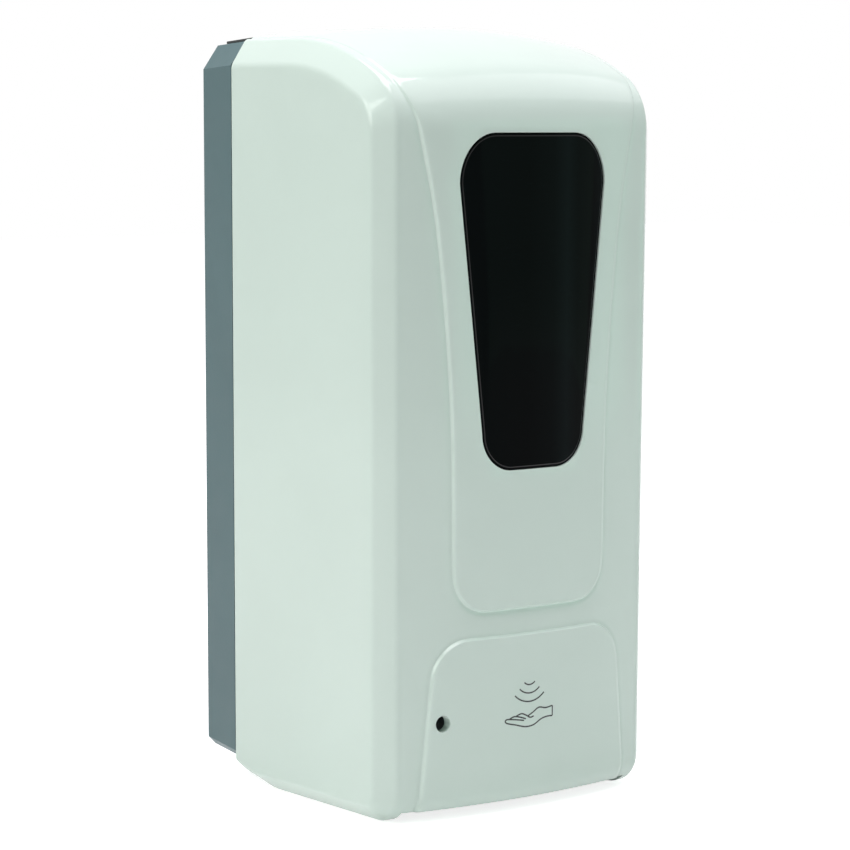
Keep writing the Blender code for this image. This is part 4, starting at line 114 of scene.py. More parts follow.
# Rows and columns of the cover's skin
FLAT_ROWS = 6
BEND_ROWS = 14
CORNER_ROWS = 9
CHIN_ROWS = 8
HEEL_ROWS = 8
PLAIN_HEIGHTS = (
    0.2300, 0.2230, 0.2150, 0.2070, 0.1980, 0.1880, 0.1780, 0.1680, 0.1580,
    0.1480, 0.1380, 0.1280, 0.1180, 0.1080, 0.0990, 0.0920,
)
GAP_ROW_REACH = 0.0002
LOWER_PANEL_SHARES = (0.2, 0.4, 0.6, 0.8)
UNDERSIDE_SHARES = (0.25, 0.5, 0.75, 1.0)
EDGE_SHARES = (0.0, 0.07, 0.14, 0.20, 0.26, 0.33, 0.40, 0.52, 0.76, 1.0)
INNER_SHARES = (0.0, 0.18, 0.36, 0.54, 0.72, 0.88, 0.97)
OUTER_SHARES = (0.06, 0.3, 0.6, 0.88)
SIDE_SHARES = (0.03, 0.25, 0.5, 0.75, 1.0)
BAND_STEPS = 6
CLEAR_OF_BAND = 0.0003
COLUMN_GAP = 0.00001

# Window, lens, indicator hole and underside
WINDOW_TOP = 0.2371
WINDOW_HIGH = 0.2198
WINDOW_HIGH_HALF = 0.0325
WINDOW_TOP_HALF = 0.0178
WINDOW_LOW = 0.1338
WINDOW_LOW_HALF = 0.0229
WINDOW_BOTTOM = 0.1206
WINDOW_BOTTOM_HALF = 0.0100
WINDOW_ARC_STEPS = 16
WINDOW_RINGS = ((0.0, 0.006), (0.0, 0.0004), (0.00012, 0.00014), (0.0004, 0.0), (0.0008, -0.001))
LENS_GAP = 0.00015
LENS_RECESS = 0.0002
LENS_THICKNESS = 0.0022
LENS_ROUND = 0.0013
LENS_ROUND_RINGS = ((0.0, 0.35), (0.25, 0.27), (0.60, 0.16), (0.85, 0.03), (1.0, 0.0))
LENS_EDGE_SHARES = (0.02, 0.15)
LENS_STRIPS = 9
INDICATOR_X = -0.0380
INDICATOR_Z = -0.1052
INDICATOR_HOLE_RADIUS = 0.0029
INDICATOR_HOLE_DEPTH = 0.015
INDICATOR_HOLE_SIDES = 40
UNDERSIDE_HALF = 0.0510
UNDERSIDE_FRONT = -0.0960
UNDERSIDE_RISE = 0.0035

# Hinge bosses and lock catch inside the cover
HINGE_Y = -0.0240
HINGE_Z = -0.1318
BOSS_X = 0.0515
BOSS_RADIUS = 0.0033
BOSS_LENGTH = 0.0053
BOSS_BORE = 0.0018
BOSS_BORE_LENGTH = 0.0055
BOSS_BORE_SIDES = 24
RIB_HALF = 0.0025
RIB_HEIGHT = 0.0060
RIB_INSET = 0.0006
RIB_REACH = 0.0600
CATCH_Y = -0.0200
CATCH_THICKNESS = 0.0025
CATCH_LEFT = 0.0090
CATCH_RIGHT = 0.0160
CATCH_LOW = 0.1179
CATCH_HIGH = SHOULDER_Z + TOP_EDGE_RISE + TOP_CROWN - SHELL_WALL / 2 - 0.0006
CATCH_SLOT_LOW = 0.1204
CATCH_SLOT_HIGH = 0.1252
CATCH_LEG = 0.0040
FITTING_ROUND = 0.0003

# Printed sign on the lower panel, with the hand's lines in millimetres
MARK_X = -0.0018
MARK_Z = -0.1099
MARK_LINE = 0.00050
MARK_HEIGHT = 0.00002
MARK_WAVES = (0.0034, 0.0064, 0.0094)
MARK_WAVE_DEG = 44.0
MARK_WAVE_STEPS = 8
MARK_WAVE_Z = 0.0183
HAND_CURVE_STEPS = 6
MILLIMETRE = 0.001
HAND_LINES = (
    [(10.6, 6.2), (7.4, 5.8), (4.3, 6.3), (1.6, 4.9), (-0.9, 3.7)],
    [
        (10.6, 2.6), (7.8, 2.6), (5.2, 2.0), (1.9, 0.4), (-1.8, 0.1), (-6.2, 1.2),
        (-9.8, 2.1), (-10.7, 2.9), (-9.9, 3.5), (-6.4, 3.1), (-2.4, 2.4),
    ],
    [(-8.9, 3.5), (-6.9, 4.2), (-4.4, 3.8), (-1.6, 2.9)],
    [(-5.9, 4.3), (-3.6, 4.9), (-1.6, 4.2), (0.3, 3.2), (1.9, 3.5)],
)
CUFF_LINE = [(0.0106, 0.0026), (0.0106, 0.0062)]

# Angles, distances and directions that the tools use
SHARP_DEG = 30.0
COVER_SHARP_DEG = 32.0
LENS_SHARP_DEG = 40.0
FLAT_DEG = 0.6
ROUND_SEGMENTS = 2
MERGE_DISTANCE = 0.000002
BISECT_MERGE = 0.000001
CUT_CLEAR = 0.001
BAR_DIRECTIONS = {
    "X": ((0, math.pi / 2, 0), Vector((1, 0, 0))),
    "Y": ((-math.pi / 2, 0, 0), Vector((0, 1, 0))),
}


# Tools for the pieces


def only(piece):
    """Makes one piece the only selected one, and the active one."""
    bpy.ops.object.select_all(action="DESELECT")
    piece.select_set(True)
    bpy.context.view_layer.objects.active = piece


def edit(piece, *steps):
    """Runs edit-mode steps on a whole piece."""
    only(piece)
    bpy.ops.object.mode_set(mode="EDIT")
    bpy.ops.mesh.select_mode(type="VERT")
    bpy.ops.mesh.select_all(action="SELECT")
    for step in steps:
        step()
    bpy.ops.object.mode_set(mode="OBJECT")


def outwards(piece):
    """Turns all faces of a closed piece outwards."""
    edit(piece, lambda: bpy.ops.mesh.normals_make_consistent(inside=False))


def apply(piece, modifier):
    """Applies one modifier of a piece."""
    only(piece)
    bpy.ops.object.modifier_apply(modifier=modifier.name)


def soften(piece, width):
    """Rounds the sharp edges of a piece and sets its shading."""
    bevel = piece.modifiers.new("edge_round", "BEVEL")
    bevel.width = width
    bevel.segments = ROUND_SEGMENTS
    bevel.limit_method = "ANGLE"
    bevel.angle_limit = math.radians(SHARP_DEG)
    bevel.use_clamp_overlap = True
    bevel.miter_outer = "MITER_ARC"
    apply(piece, bevel)
    shade(piece)


def shade(piece, angle_deg=SHARP_DEG):
    """Smooth shading, with edges kept sharp over an angle."""
    only(piece)
    bpy.ops.object.shade_smooth_by_angle(angle=math.radians(angle_deg))


def even_shading(piece):
    """Keeps flat faces evenly shaded up to their rounded edges."""
    even = piece.modifiers.new("even_shading", "WEIGHTED_NORMAL")
    even.keep_sharp = True
    even.weight = 100
    apply(piece, even)


def block(name, low, high):
    """Box between two corners, from a cube."""
    low, high = Vector(low), Vector(high)
    bpy.ops.mesh.primitive_cube_add(size=1.0, location=(low + high) / 2, scale=high - low)
    piece = bpy.context.object
    piece.name = name
    only(piece)
    bpy.ops.object.transform_apply(location=True, rotation=True, scale=True)
    return piece


def round_bar(name, radius, start, length, axis, sides=48):
    """Cylinder that starts at a point and runs along +axis."""
    turn, along = BAR_DIRECTIONS[axis]
    middle = Vector(start) + along * length / 2
    bpy.ops.mesh.primitive_cylinder_add(
        vertices=sides, radius=radius, depth=length, location=middle, rotation=turn
    )
    piece = bpy.context.object
    piece.name = name
    only(piece)
    bpy.ops.object.transform_apply(location=True, rotation=True, scale=True)
    return piece


def boolean(piece, operation, *tools):
    """Joins or cuts helper pieces, then removes them."""
    for tool in tools:
        change = piece.modifiers.new("boolean", "BOOLEAN")
        change.operation = operation
        change.object = tool
        change.solver = "EXACT"
        apply(piece, change)
        bpy.data.objects.remove(tool, do_unlink=True)


def join_to(piece, others):
    """Joins finished pieces to one, in their order."""
    only(piece)
    for other in others:
        other.select_set(True)
    bpy.ops.object.join()


def dress(piece, finish, body, slot, *nodes):
    """Gives a piece its finish, its body and the nodes it stands for. The slot argument is not used."""
    piece.data.materials.clear()
    piece.data.materials.append(finish)
    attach(piece, body)
    if nodes:
        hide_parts(*nodes)


# Shape of the cover


def smooth_between(knots, value):
    """Smooth curve through (place, size) knots, read at one place."""
    if value <= knots[0][0]:
        return knots[0][1]
    for i in range(len(knots) - 1):
        (a, low), (b, high) = knots[i], knots[i + 1]
        if value <= b:
            before = knots[max(i - 1, 0)]
            after = knots[min(i + 2, len(knots) - 1)]
            t = (value - a) / (b - a)
            slope_a = (high - before[1]) / (b - before[0]) * (b - a)
            slope_b = (after[1] - low) / (after[0] - a) * (b - a)
            t2, t3 = t * t, t * t * t
            low_part = (2 * t3 - 3 * t2 + 1) * low + (t3 - 2 * t2 + t) * slope_a
            return low_part + (3 * t2 - 2 * t3) * high + (t3 - t2) * slope_b
    return knots[-1][1]


def nearest_panel(height):
    """Half width and corner radius of the panel at a height, and how deep that is in its corner."""
    if height >= BETWEEN_PANELS:
        depth = CENTRE_PANEL_BOTTOM + CENTRE_PANEL_CORNER - height
        half = CENTRE_PANEL_HALF if depth > 0 else smooth_between(CENTRE_PANEL_KNOTS, height)
        return half, CENTRE_PANEL_CORNER, depth
    flare = LOWER_PANEL_FLARE * (LOWER_PANEL_TOP - height) / LOWER_PANEL_TOP
    depth = height - (LOWER_PANEL_TOP - LOWER_PANEL_CORNER)
    return LOWER_PANEL_HALF + flare, LOWER_PANEL_CORNER, depth


def panel_half(height, edge):
    """Half width of the panel outline at a height, grown by an edge distance."""
    half, corner, depth = nearest_panel(height)
    if depth <= 0:
        return half + edge
    corner += edge
    depth = min(depth, corner)
    return half + edge - corner + math.sqrt(max(0.0, corner * corner - depth * depth))


def past_panel(x, height):
    """Distance of a point on the front past the edge of the nearest panel, negative inside it."""
    half, corner, depth = nearest_panel(height)
    if depth <= 0:
        return abs(x) - half
    if abs(x) <= half - corner:
        return depth - corner
    return math.hypot(abs(x) - (half - corner), depth) - corner


def soft_step(share):
    """Runs from 0 to 1 with level ends."""
    share = min(1.0, max(0.0, share))
    return share * share * (3 - 2 * share)


def panel_rise(x, height):
    """Height of the raised panels over the plain front, with a shallow groove beside their step."""
    share = past_panel(x, height) / PANEL_EDGE
    fade = (CENTRE_PANEL_BROW - height) / (CENTRE_PANEL_BROW - CENTRE_PANEL_NECK)
    level = min(1.0, max(TOP_RISE_SHARE, fade))
    step = (PANEL_RISE + GROOVE_DEPTH) * (1 - soft_step(share / STEP_SHARE))
    ramp = GROOVE_DEPTH * (1 - soft_step((share - STEP_SHARE) / (1 - STEP_SHARE)))
    return level * (step - ramp)


def front_heights():
    """Heights of the rows on the upright front, from the top down."""
    turns = [math.sin(math.pi / 2 * step / CORNER_ROWS) for step in range(CORNER_ROWS + 1)]
    heights = list(PLAIN_HEIGHTS)
    corner_z = CENTRE_PANEL_BOTTOM + CENTRE_PANEL_CORNER
    heights += [corner_z - CENTRE_PANEL_CORNER * turn for turn in turns]
    heights += [CENTRE_PANEL_BOTTOM - PANEL_EDGE * share for share in EDGE_SHARES[1:]]
    heights += [BETWEEN_PANELS + GAP_ROW_REACH, BETWEEN_PANELS - GAP_ROW_REACH]
    heights += [LOWER_PANEL_TOP + PANEL_EDGE * share for share in reversed(EDGE_SHARES)]
    corner_z = LOWER_PANEL_TOP - LOWER_PANEL_CORNER
    heights += [corner_z + LOWER_PANEL_CORNER * turn for turn in reversed(turns[:-1])]
    low_end = SIDE_BOTTOM_Z + CHIN_RADIUS - COVER_BOTTOM
    heights += [corner_z + (low_end - corner_z) * share for share in LOWER_PANEL_SHARES]
    return heights


def cover_rows():
    """Rows of the skin from the top rear to the bottom rear: (y, z, angle, edge rise, crown)."""
    rows = []
    right = math.pi / 2
    slope = math.radians(SHOULDER_SLOPE_DEG)
    flat_end = COVER_REAR - SHOULDER_FLAT
    brow_y = flat_end - SHOULDER_RADIUS * math.sin(slope)
    brow_z = SHOULDER_Z - SHOULDER_RADIUS * (1 - math.cos(slope))
    brow_radius = (SIDE_DEPTH + brow_y) / (1 - math.sin(slope))

    def add(y, z, angle, edge=None, crown=None):
        turn = min(1.0, angle / right)
        if edge is None:
            edge = TOP_EDGE_RISE + (FRONT_EDGE_RISE - TOP_EDGE_RISE) * turn
            crown = TOP_CROWN + (FRONT_CROWN - TOP_CROWN) * turn
        rows.append((y, z, angle, edge, crown))

    for step in range(FLAT_ROWS):
        add(COVER_REAR + (flat_end - COVER_REAR) * step / FLAT_ROWS, SHOULDER_Z, 0.0)
    for step in range(BEND_ROWS):
        angle = slope * step / BEND_ROWS
        y = flat_end - SHOULDER_RADIUS * math.sin(angle)
        add(y, SHOULDER_Z - SHOULDER_RADIUS * (1 - math.cos(angle)), angle)
    for step in range(BEND_ROWS + 1):
        angle = slope + (right - slope) * step / BEND_ROWS
        y = brow_y + brow_radius * (math.sin(slope) - math.sin(angle))
        add(y, brow_z - brow_radius * (math.cos(slope) - math.cos(angle)), angle)
    for height in front_heights():
        add(-SIDE_DEPTH, COVER_BOTTOM + height, right)
    for step in range(CHIN_ROWS + 1):
        turn = right * step / CHIN_ROWS
        y = -SIDE_DEPTH + CHIN_RADIUS * (1 - math.cos(turn))
        z = SIDE_BOTTOM_Z + CHIN_RADIUS * (1 - math.sin(turn))
        add(y, z, right + turn, FRONT_EDGE_RISE, FRONT_CROWN * math.cos(turn) ** 2)
    chin_end = CHIN_RADIUS - SIDE_DEPTH
    heel_start = COVER_REAR - HEEL_LENGTH
    for share in UNDERSIDE_SHARES:
        y = chin_end + (heel_start - chin_end) * share
        add(y, SIDE_BOTTOM_Z, math.pi, FRONT_EDGE_RISE, 0.0)
    for step in range(1, HEEL_ROWS + 1):
        share = step / HEEL_ROWS
        rise = HEEL_RISE * share**HEEL_POWER
        edge = FRONT_EDGE_RISE * (1 - HEEL_EDGE_SHARE * share)
        y = heel_start + HEEL_LENGTH * share
        add(y, COVER_BOTTOM + rise + edge, math.pi, edge, 0.0)
    return rows


def edge_band(edge_rise):
    """(distance in from the side plane, height) of the softened edge band, from the side inwards."""
    leg = Vector((EDGE_WIDTH, edge_rise))
    along = leg.normalized() * EDGE_ROUND
    first = (Vector((0.0, -EDGE_ROUND)), Vector((0.0, 0.0)), along)
    second = (leg - along, leg, leg + Vector((EDGE_ROUND, 0.0)))
    band = []
    for low, peak, high in (first, second):
        for step in range(BAND_STEPS + 1):
            t = step / BAND_STEPS
            band.append(low * (1 - t) ** 2 + peak * 2 * t * (1 - t) + high * t * t)
    return [(point.x, point.y) for point in band]


def side_x(z):
    """Half width of the side plane at a height, with its draft."""
    return HALF_WIDTH - SIDE_DRAFT * (SHOULDER_Z - z) / (SHOULDER_Z - COVER_BOTTOM)


def half_row(row, seam_z, raised):
    """Points of one row, from the middle out to the seam on the right."""
    y, z, angle, edge_rise, crown = row
    out_y, out_z = -math.sin(angle), math.cos(angle)
    width = side_x(z)
    band = edge_band(edge_rise)
    band_x = width - band[-1][0]
    height = z - COVER_BOTTOM + max(0.0, edge_rise * out_z)
    if out_z > 0:
        height += y + SIDE_DEPTH
    outer = band_x - CLEAR_OF_BAND
    start = min(panel_half(height, 0.0), outer)
    places = [start * share for share in INNER_SHARES]
    for index, share in enumerate(EDGE_SHARES):
        places.append(min(panel_half(height, PANEL_EDGE * share), outer) + index * COLUMN_GAP)
    places += [places[-1] + (band_x - places[-1]) * share for share in OUTER_SHARES]
    points = []
    for x in places:
        rise = panel_rise(x, height) if raised else 0.0
        n = edge_rise + crown * (1 - (x / band_x) ** 2) + rise
        points.append(Vector((x, y + out_y * n, z + out_z * n)))
    for inset, n in reversed(band):
        points.append(Vector((width - inset, y + out_y * n, z + out_z * n)))
    foot = points[-1]
    for share in SIDE_SHARES:
        here = foot.z + (seam_z - foot.z) * share
        points.append(Vector((side_x(here), foot.y + (COVER_REAR - foot.y) * share, here)))
    return points


def cover_grid(raised):
    """Points of the cover's outer skin, row by row from the bottom rear to the top rear."""
    rows = cover_rows()
    lengths = [0.0]
    for one, other in zip(rows, rows[1:]):
        lengths.append(lengths[-1] + math.hypot(other[0] - one[0], other[1] - one[1]))
    seam_top = SHOULDER_Z - EDGE_WIDTH
    seam_bottom = rows[-1][1] + EDGE_WIDTH
    grid = []
    for row, length in zip(rows, lengths):
        seam_z = seam_top + (seam_bottom - seam_top) * length / lengths[-1]
        half = half_row(row, seam_z, raised)
        grid.append([Vector((-p.x, p.y, p.z)) for p in reversed(half[1:])] + half)
    return grid[::-1]


def inner_grid(grid, wall):
    """Points of a grid moved inwards along its normals by a wall's thickness."""
    rows, columns = len(grid), len(grid[0])
    inner = []
    for r in range(rows):
        line = []
        for c in range(columns):
            across = grid[r][min(c + 1, columns - 1)] - grid[r][max(c - 1, 0)]
            up = grid[min(r + 1, rows - 1)][c] - grid[max(r - 1, 0)][c]
            point = grid[r][c] - across.cross(up).normalized() * wall
            if r in (0, rows - 1) or c in (0, columns - 1):
                point.y = COVER_REAR
            line.append(point)
        inner.append(line)
    return inner


def shell_between(name, outer, inner):
    """Closed shell with an outer and an inner skin, from a grid that is extruded and shaped."""
    rows, columns = len(outer), len(outer[0])
    bpy.ops.mesh.primitive_grid_add(x_subdivisions=columns - 1, y_subdivisions=rows - 1, size=2.0)
    piece = bpy.context.object
    piece.name = name
    edit(
        piece,
        lambda: bpy.ops.mesh.extrude_region_move(TRANSFORM_OT_translate={"value": (0, 0, 1)}),
    )
    for vertex in piece.data.vertices:
        column = round((vertex.co.x + 1) / 2 * (columns - 1))
        row = round((vertex.co.y + 1) / 2 * (rows - 1))
        skin = outer if vertex.co.z > 0.5 else inner
        vertex.co = skin[row][column]
    return piece


def window_outline(offset):
    """Outline of the window in x and z, grown or shrunk by an offset, all round from the top middle."""
    low_z = COVER_BOTTOM + WINDOW_LOW
    high_z = COVER_BOTTOM + WINDOW_HIGH
    top = (WINDOW_HIGH_HALF - WINDOW_TOP_HALF + offset, WINDOW_TOP - WINDOW_HIGH + offset)
    bottom = (WINDOW_LOW_HALF - WINDOW_BOTTOM_HALF + offset, WINDOW_LOW - WINDOW_BOTTOM + offset)
    right = []
    for step in range(WINDOW_ARC_STEPS + 1):
        angle = math.pi / 2 * (1 - step / WINDOW_ARC_STEPS)
        x = WINDOW_TOP_HALF + top[0] * math.cos(angle)
        right.append((x, high_z + top[1] * math.sin(angle)))
    for step in range(WINDOW_ARC_STEPS + 1):
        angle = -math.pi / 2 * step / WINDOW_ARC_STEPS
        x = WINDOW_BOTTOM_HALF + bottom[0] * math.cos(angle)
        right.append((x, low_z + bottom[1] * math.sin(angle)))
    return right + [(-x, z) for x, z in reversed(right)]


def bow(x):
    """How far the front falls back at a distance from its middle."""
    return FRONT_CROWN * (x / (HALF_WIDTH - EDGE_WIDTH - EDGE_ROUND)) ** 2


def window_plug(name, rings):
    """Closed, bowed body through rings of the window's outline: (offset, distance behind the front)."""
    count = len(window_outline(0.0))
    bpy.ops.mesh.primitive_circle_add(vertices=count, radius=1.0, fill_type="NGON")
    piece = bpy.context.object
    piece.name = name
    only(piece)
    bpy.ops.object.mode_set(mode="EDIT")
    bpy.ops.mesh.select_all(action="SELECT")
    for _ in rings[1:]:
        bpy.ops.mesh.extrude_region_move(TRANSFORM_OT_translate={"value": (0, 0, 1)})
    bpy.ops.object.mode_set(mode="OBJECT")
    for vertex in piece.data.vertices:
        turn = (math.atan2(vertex.co.x, vertex.co.y) / (2 * math.pi)) % 1.0
        offset, depth = rings[round(vertex.co.z)]
        x, z = window_outline(offset)[round(turn * count) % count]
        vertex.co = (x, FRONT_Y + depth, z)
    for step in range(-LENS_STRIPS, LENS_STRIPS + 1):
        cut = {
            "plane_co": (WINDOW_HIGH_HALF * step / (LENS_STRIPS + 0.5), 0.0, 0.0),
            "plane_no": (1.0, 0.0, 0.0),
            "threshold": BISECT_MERGE,
        }
        edit(piece, lambda: bpy.ops.mesh.bisect(**cut))
    for vertex in piece.data.vertices:
        vertex.co.y += bow(vertex.co.x)
    outwards(piece)
    return piece


def hinge_boss(side):
    """Bored boss that turns on a hinge pin, with the rib that carries it."""
    start = BOSS_X if side > 0 else -BOSS_X - BOSS_LENGTH
    boss = round_bar("hinge_boss", BOSS_RADIUS, (start, HINGE_Y, HINGE_Z), BOSS_LENGTH, "X")
    low_x, high_x = sorted((side * (BOSS_X + RIB_INSET), side * RIB_REACH))
    rib = block(
        "hinge_rib",
        (low_x, HINGE_Y - RIB_HALF, HINGE_Z + RIB_INSET),
        (high_x, HINGE_Y + RIB_HALF, HINGE_Z + RIB_HEIGHT),
    )
    boolean(boss, "UNION", rib)
    start = BOSS_X - CUT_CLEAR if side > 0 else -BOSS_X + CUT_CLEAR - BOSS_BORE_LENGTH
    place = (start, HINGE_Y, HINGE_Z)
    bore = round_bar("bore", BOSS_BORE, place, BOSS_BORE_LENGTH, "X", BOSS_BORE_SIDES)
    boolean(boss, "DIFFERENCE", bore)
    soften(boss, FITTING_ROUND)
    return boss


def lock_catch():
    """Hooked catch that the lock's cam turns under."""
    catch = block(
        "lock_catch",
        (-CATCH_LEFT, CATCH_Y - CATCH_THICKNESS, CATCH_LOW),
        (CATCH_RIGHT, CATCH_Y, CATCH_HIGH),
    )
    slot = block(
        "slot",
        (-CATCH_LEFT + CATCH_LEG, CATCH_Y - CATCH_THICKNESS - CUT_CLEAR, CATCH_SLOT_LOW),
        (CATCH_RIGHT + CUT_CLEAR, CATCH_Y + CUT_CLEAR, CATCH_SLOT_HIGH),
    )
    boolean(catch, "DIFFERENCE", slot)
    soften(catch, FITTING_ROUND)
    return catch


def make_cover():
    """Front cover: its skin, window, indicator hole, open underside, hinge bosses and lock catch."""
    cover = shell_between("cover_shell", cover_grid(True), inner_grid(cover_grid(False), SHELL_WALL))
    window = window_plug("window", WINDOW_RINGS)
    hole = round_bar(
        "hole",
        INDICATOR_HOLE_RADIUS,
        (INDICATOR_X, FRONT_Y - SHELL_WALL, INDICATOR_Z),
        INDICATOR_HOLE_DEPTH,
        "Y",
        INDICATOR_HOLE_SIDES,
    )
    rim = block(
        "rim",
        (-UNDERSIDE_HALF, FRONT_Y - CUT_CLEAR, COVER_BOTTOM - CUT_CLEAR),
        (UNDERSIDE_HALF, UNDERSIDE_FRONT + CUT_CLEAR, COVER_BOTTOM + UNDERSIDE_RISE),
    )
    opening = block(
        "opening",
        (-UNDERSIDE_HALF, UNDERSIDE_FRONT, COVER_BOTTOM - CUT_CLEAR),
        (UNDERSIDE_HALF, COVER_REAR + CUT_CLEAR, COVER_BOTTOM + FRONT_EDGE_RISE + 2 * SHELL_WALL),
    )
    boolean(cover, "DIFFERENCE", window, hole, rim, opening)
    join_to(cover, [hinge_boss(-1), hinge_boss(1), lock_catch()])
    shade(cover, COVER_SHARP_DEG)
    dress(cover, WHITE_GLOSS, "cover", "white_gloss", "front_cover")


def make_lens():
    """Smoked lens with a rounded edge, set in the window."""
    rings = [(-LENS_GAP, LENS_RECESS + LENS_THICKNESS)]
    for inset, depth in LENS_ROUND_RINGS:
        rings.append((-LENS_GAP - inset * LENS_ROUND, LENS_RECESS + depth * LENS_ROUND))
    lens = window_plug("window_pane", rings)
    shade(lens, LENS_SHARP_DEG)
    dress(lens, SMOKED_PANE, "cover", "black_gloss", "window_lens")
    lens.data.materials.append(SMOKED_EDGE)
    low, high = (share * LENS_ROUND for share in LENS_EDGE_SHARES)
    for face in lens.data.polygons:
        depth = face.center.y - FRONT_Y - bow(face.center.x) - LENS_RECESS
        if low < depth < high:
            face.material_index = 1


def smooth_line(points):
    """Points of a soft curve through a few given ones."""
    line = []
    for i in range(len(points) - 1):
        four = (points[max(i - 1, 0)], points[i], points[i + 1], points[min(i + 2, len(points) - 1)])
        for step in range(HAND_CURVE_STEPS):
            t = step / HAND_CURVE_STEPS
            point = []
            for p, q, r, s in zip(*four):
                bend = (2 * p - 5 * q + 4 * r - s) * t**2
                twist = (3 * q - p - 3 * r + s) * t**3
                point.append(0.5 * (2 * q + (r - p) * t + bend + twist))
            line.append(tuple(point))
    return line + [points[-1]]


def print_stroke(name, points):
    """Thin raised line of ink that follows the bowed front, from a strip of faces."""
    bpy.ops.mesh.primitive_grid_add(x_subdivisions=len(points) - 1, y_subdivisions=1, size=2.0)
    stroke = bpy.context.object
    stroke.name = name
    for vertex in stroke.data.vertices:
        here = round((vertex.co.x + 1) / 2 * (len(points) - 1))
        before = Vector(points[max(here - 1, 0)])
        after = Vector(points[min(here + 1, len(points) - 1)])
        along = (after - before).normalized()
        across = Vector((-along.y, along.x)) * (vertex.co.y * MARK_LINE / 2)
        x = MARK_X + points[here][0] + across.x
        z = MARK_Z + points[here][1] + across.y
        vertex.co = (x, FRONT_Y + bow(x) - MARK_HEIGHT, z)
    body = stroke.modifiers.new("thickness", "SOLIDIFY")
    body.thickness = 4 * MARK_HEIGHT
    body.offset = -1.0
    apply(stroke, body)
    outwards(stroke)
    return stroke


def make_sensor_mark():
    """Plain printed sign for a hand held under the sensor: three waves over an open hand."""
    steps = range(-MARK_WAVE_STEPS, MARK_WAVE_STEPS + 1)
    turns = [math.radians(MARK_WAVE_DEG * (step / MARK_WAVE_STEPS)) for step in steps]
    strokes = []
    for size in MARK_WAVES:
        strokes.append([(size * math.sin(turn), MARK_WAVE_Z - size * math.cos(turn)) for turn in turns])
    for line in HAND_LINES:
        strokes.append(smooth_line([(x * MILLIMETRE, z * MILLIMETRE) for x, z in line]))
    strokes.append(CUFF_LINE)
    mark, *others = [print_stroke("sensor_mark", stroke) for stroke in strokes]
    join_to(mark, others)
    dress(mark, PRINT_INK, "cover", "black_satin")


# Finishes

TONE_PATCH = 0.045
SHEEN_PATCH = 0.012
METAL_TONE_PATCH = 0.006
METAL_MARK = 0.0012
METAL_STRETCH = (1.0, 8.0, 1.0)
TONE_RANGE = (0.35, 0.65)
SHEEN_RANGE = (0.3, 0.7)
PANE_TINT = (0.55, 1.0, 1.05)
# Painted reflection on the lens: tone by share across its width, lighter in an upright band and at the
# right edge
PANE_REFLECTION_TONES = (
    (0.0, 0.0040),
    (0.45, 0.0022),
    (0.62, 0.0036),
    (0.72, 0.0080),
    (0.80, 0.0028),
    (0.90, 0.0022),
    (0.97, 0.006),
)


def new_finish(name, roughness, metallic=0.0, **even):
    """Principled material whose even values stand on the shader's own sockets."""
    finish = bpy.data.materials.new(name)
    finish.use_nodes = True
    shader = finish.node_tree.nodes["Principled BSDF"]
    shader.inputs["Roughness"].default_value = roughness
    shader.inputs["Metallic"].default_value = metallic
    for socket, value in even.items():
        shader.inputs[socket.replace("_", " ")].default_value = value
    return finish


def pattern(finish, size, detail=2.0, stretch=(1.0, 1.0, 1.0)):
    """Noise with marks of about one size in metres, fixed to the piece."""
    tree = finish.node_tree
    place = tree.nodes.new("ShaderNodeTexCoord")
    mapping = tree.nodes.new("ShaderNodeMapping")
    mapping.inputs["Scale"].default_value = stretch
    noise = tree.nodes.new("ShaderNodeTexNoise")
    noise.inputs["Scale"].default_value = 1 / size
    noise.inputs["Detail"].default_value = detail
    tree.links.new(place.outputs["Object"], mapping.inputs["Vector"])
    tree.links.new(mapping.outputs["Vector"], noise.inputs["Vector"])
    return noise


def tint(finish, noise, dark, light):
    """Colour between two tones that follows a noise."""
    tree = finish.node_tree
    ramp = tree.nodes.new("ShaderNodeValToRGB")
    for stop, place, tone in zip(ramp.color_ramp.elements, TONE_RANGE, (dark, light)):
        stop.position = place
        stop.color = (*tone, 1.0)
    tree.links.new(noise.outputs["Fac"], ramp.inputs["Fac"])
    tree.links.new(ramp.outputs["Color"], tree.nodes["Principled BSDF"].inputs["Base Color"])


def sheen_spots(finish, noise, low, high):
    """Roughness between two values that follows a noise."""
    tree = finish.node_tree
    spread = tree.nodes.new("ShaderNodeMapRange")
    spread.inputs["From Min"].default_value = SHEEN_RANGE[0]
    spread.inputs["From Max"].default_value = SHEEN_RANGE[1]
    spread.inputs["To Min"].default_value = low
    spread.inputs["To Max"].default_value = high
    tree.links.new(noise.outputs["Fac"], spread.inputs["Value"])
    tree.links.new(spread.outputs["Result"], tree.nodes["Principled BSDF"].inputs["Roughness"])


def relief(finish, noise, depth):
    """Fine surface relief of a depth in metres that follows a noise."""
    tree = finish.node_tree
    bump = tree.nodes.new("ShaderNodeBump")
    bump.inputs["Distance"].default_value = depth
    bump.inputs["Strength"].default_value = 1.0
    tree.links.new(noise.outputs["Fac"], bump.inputs["Height"])
    tree.links.new(bump.outputs["Normal"], tree.nodes["Principled BSDF"].inputs["Normal"])


def moulded(name, dark, light, rough, grain, depth, **even):
    """Moulded plastic: a faint drift of tone, uneven sheen and a fine grain."""
    finish = new_finish(name, sum(rough) / 2, **even)
    tint(finish, pattern(finish, TONE_PATCH, 3.0), dark, light)
    sheen_spots(finish, pattern(finish, SHEEN_PATCH, 4.0), *rough)
    relief(finish, pattern(finish, grain), depth)
    return finish


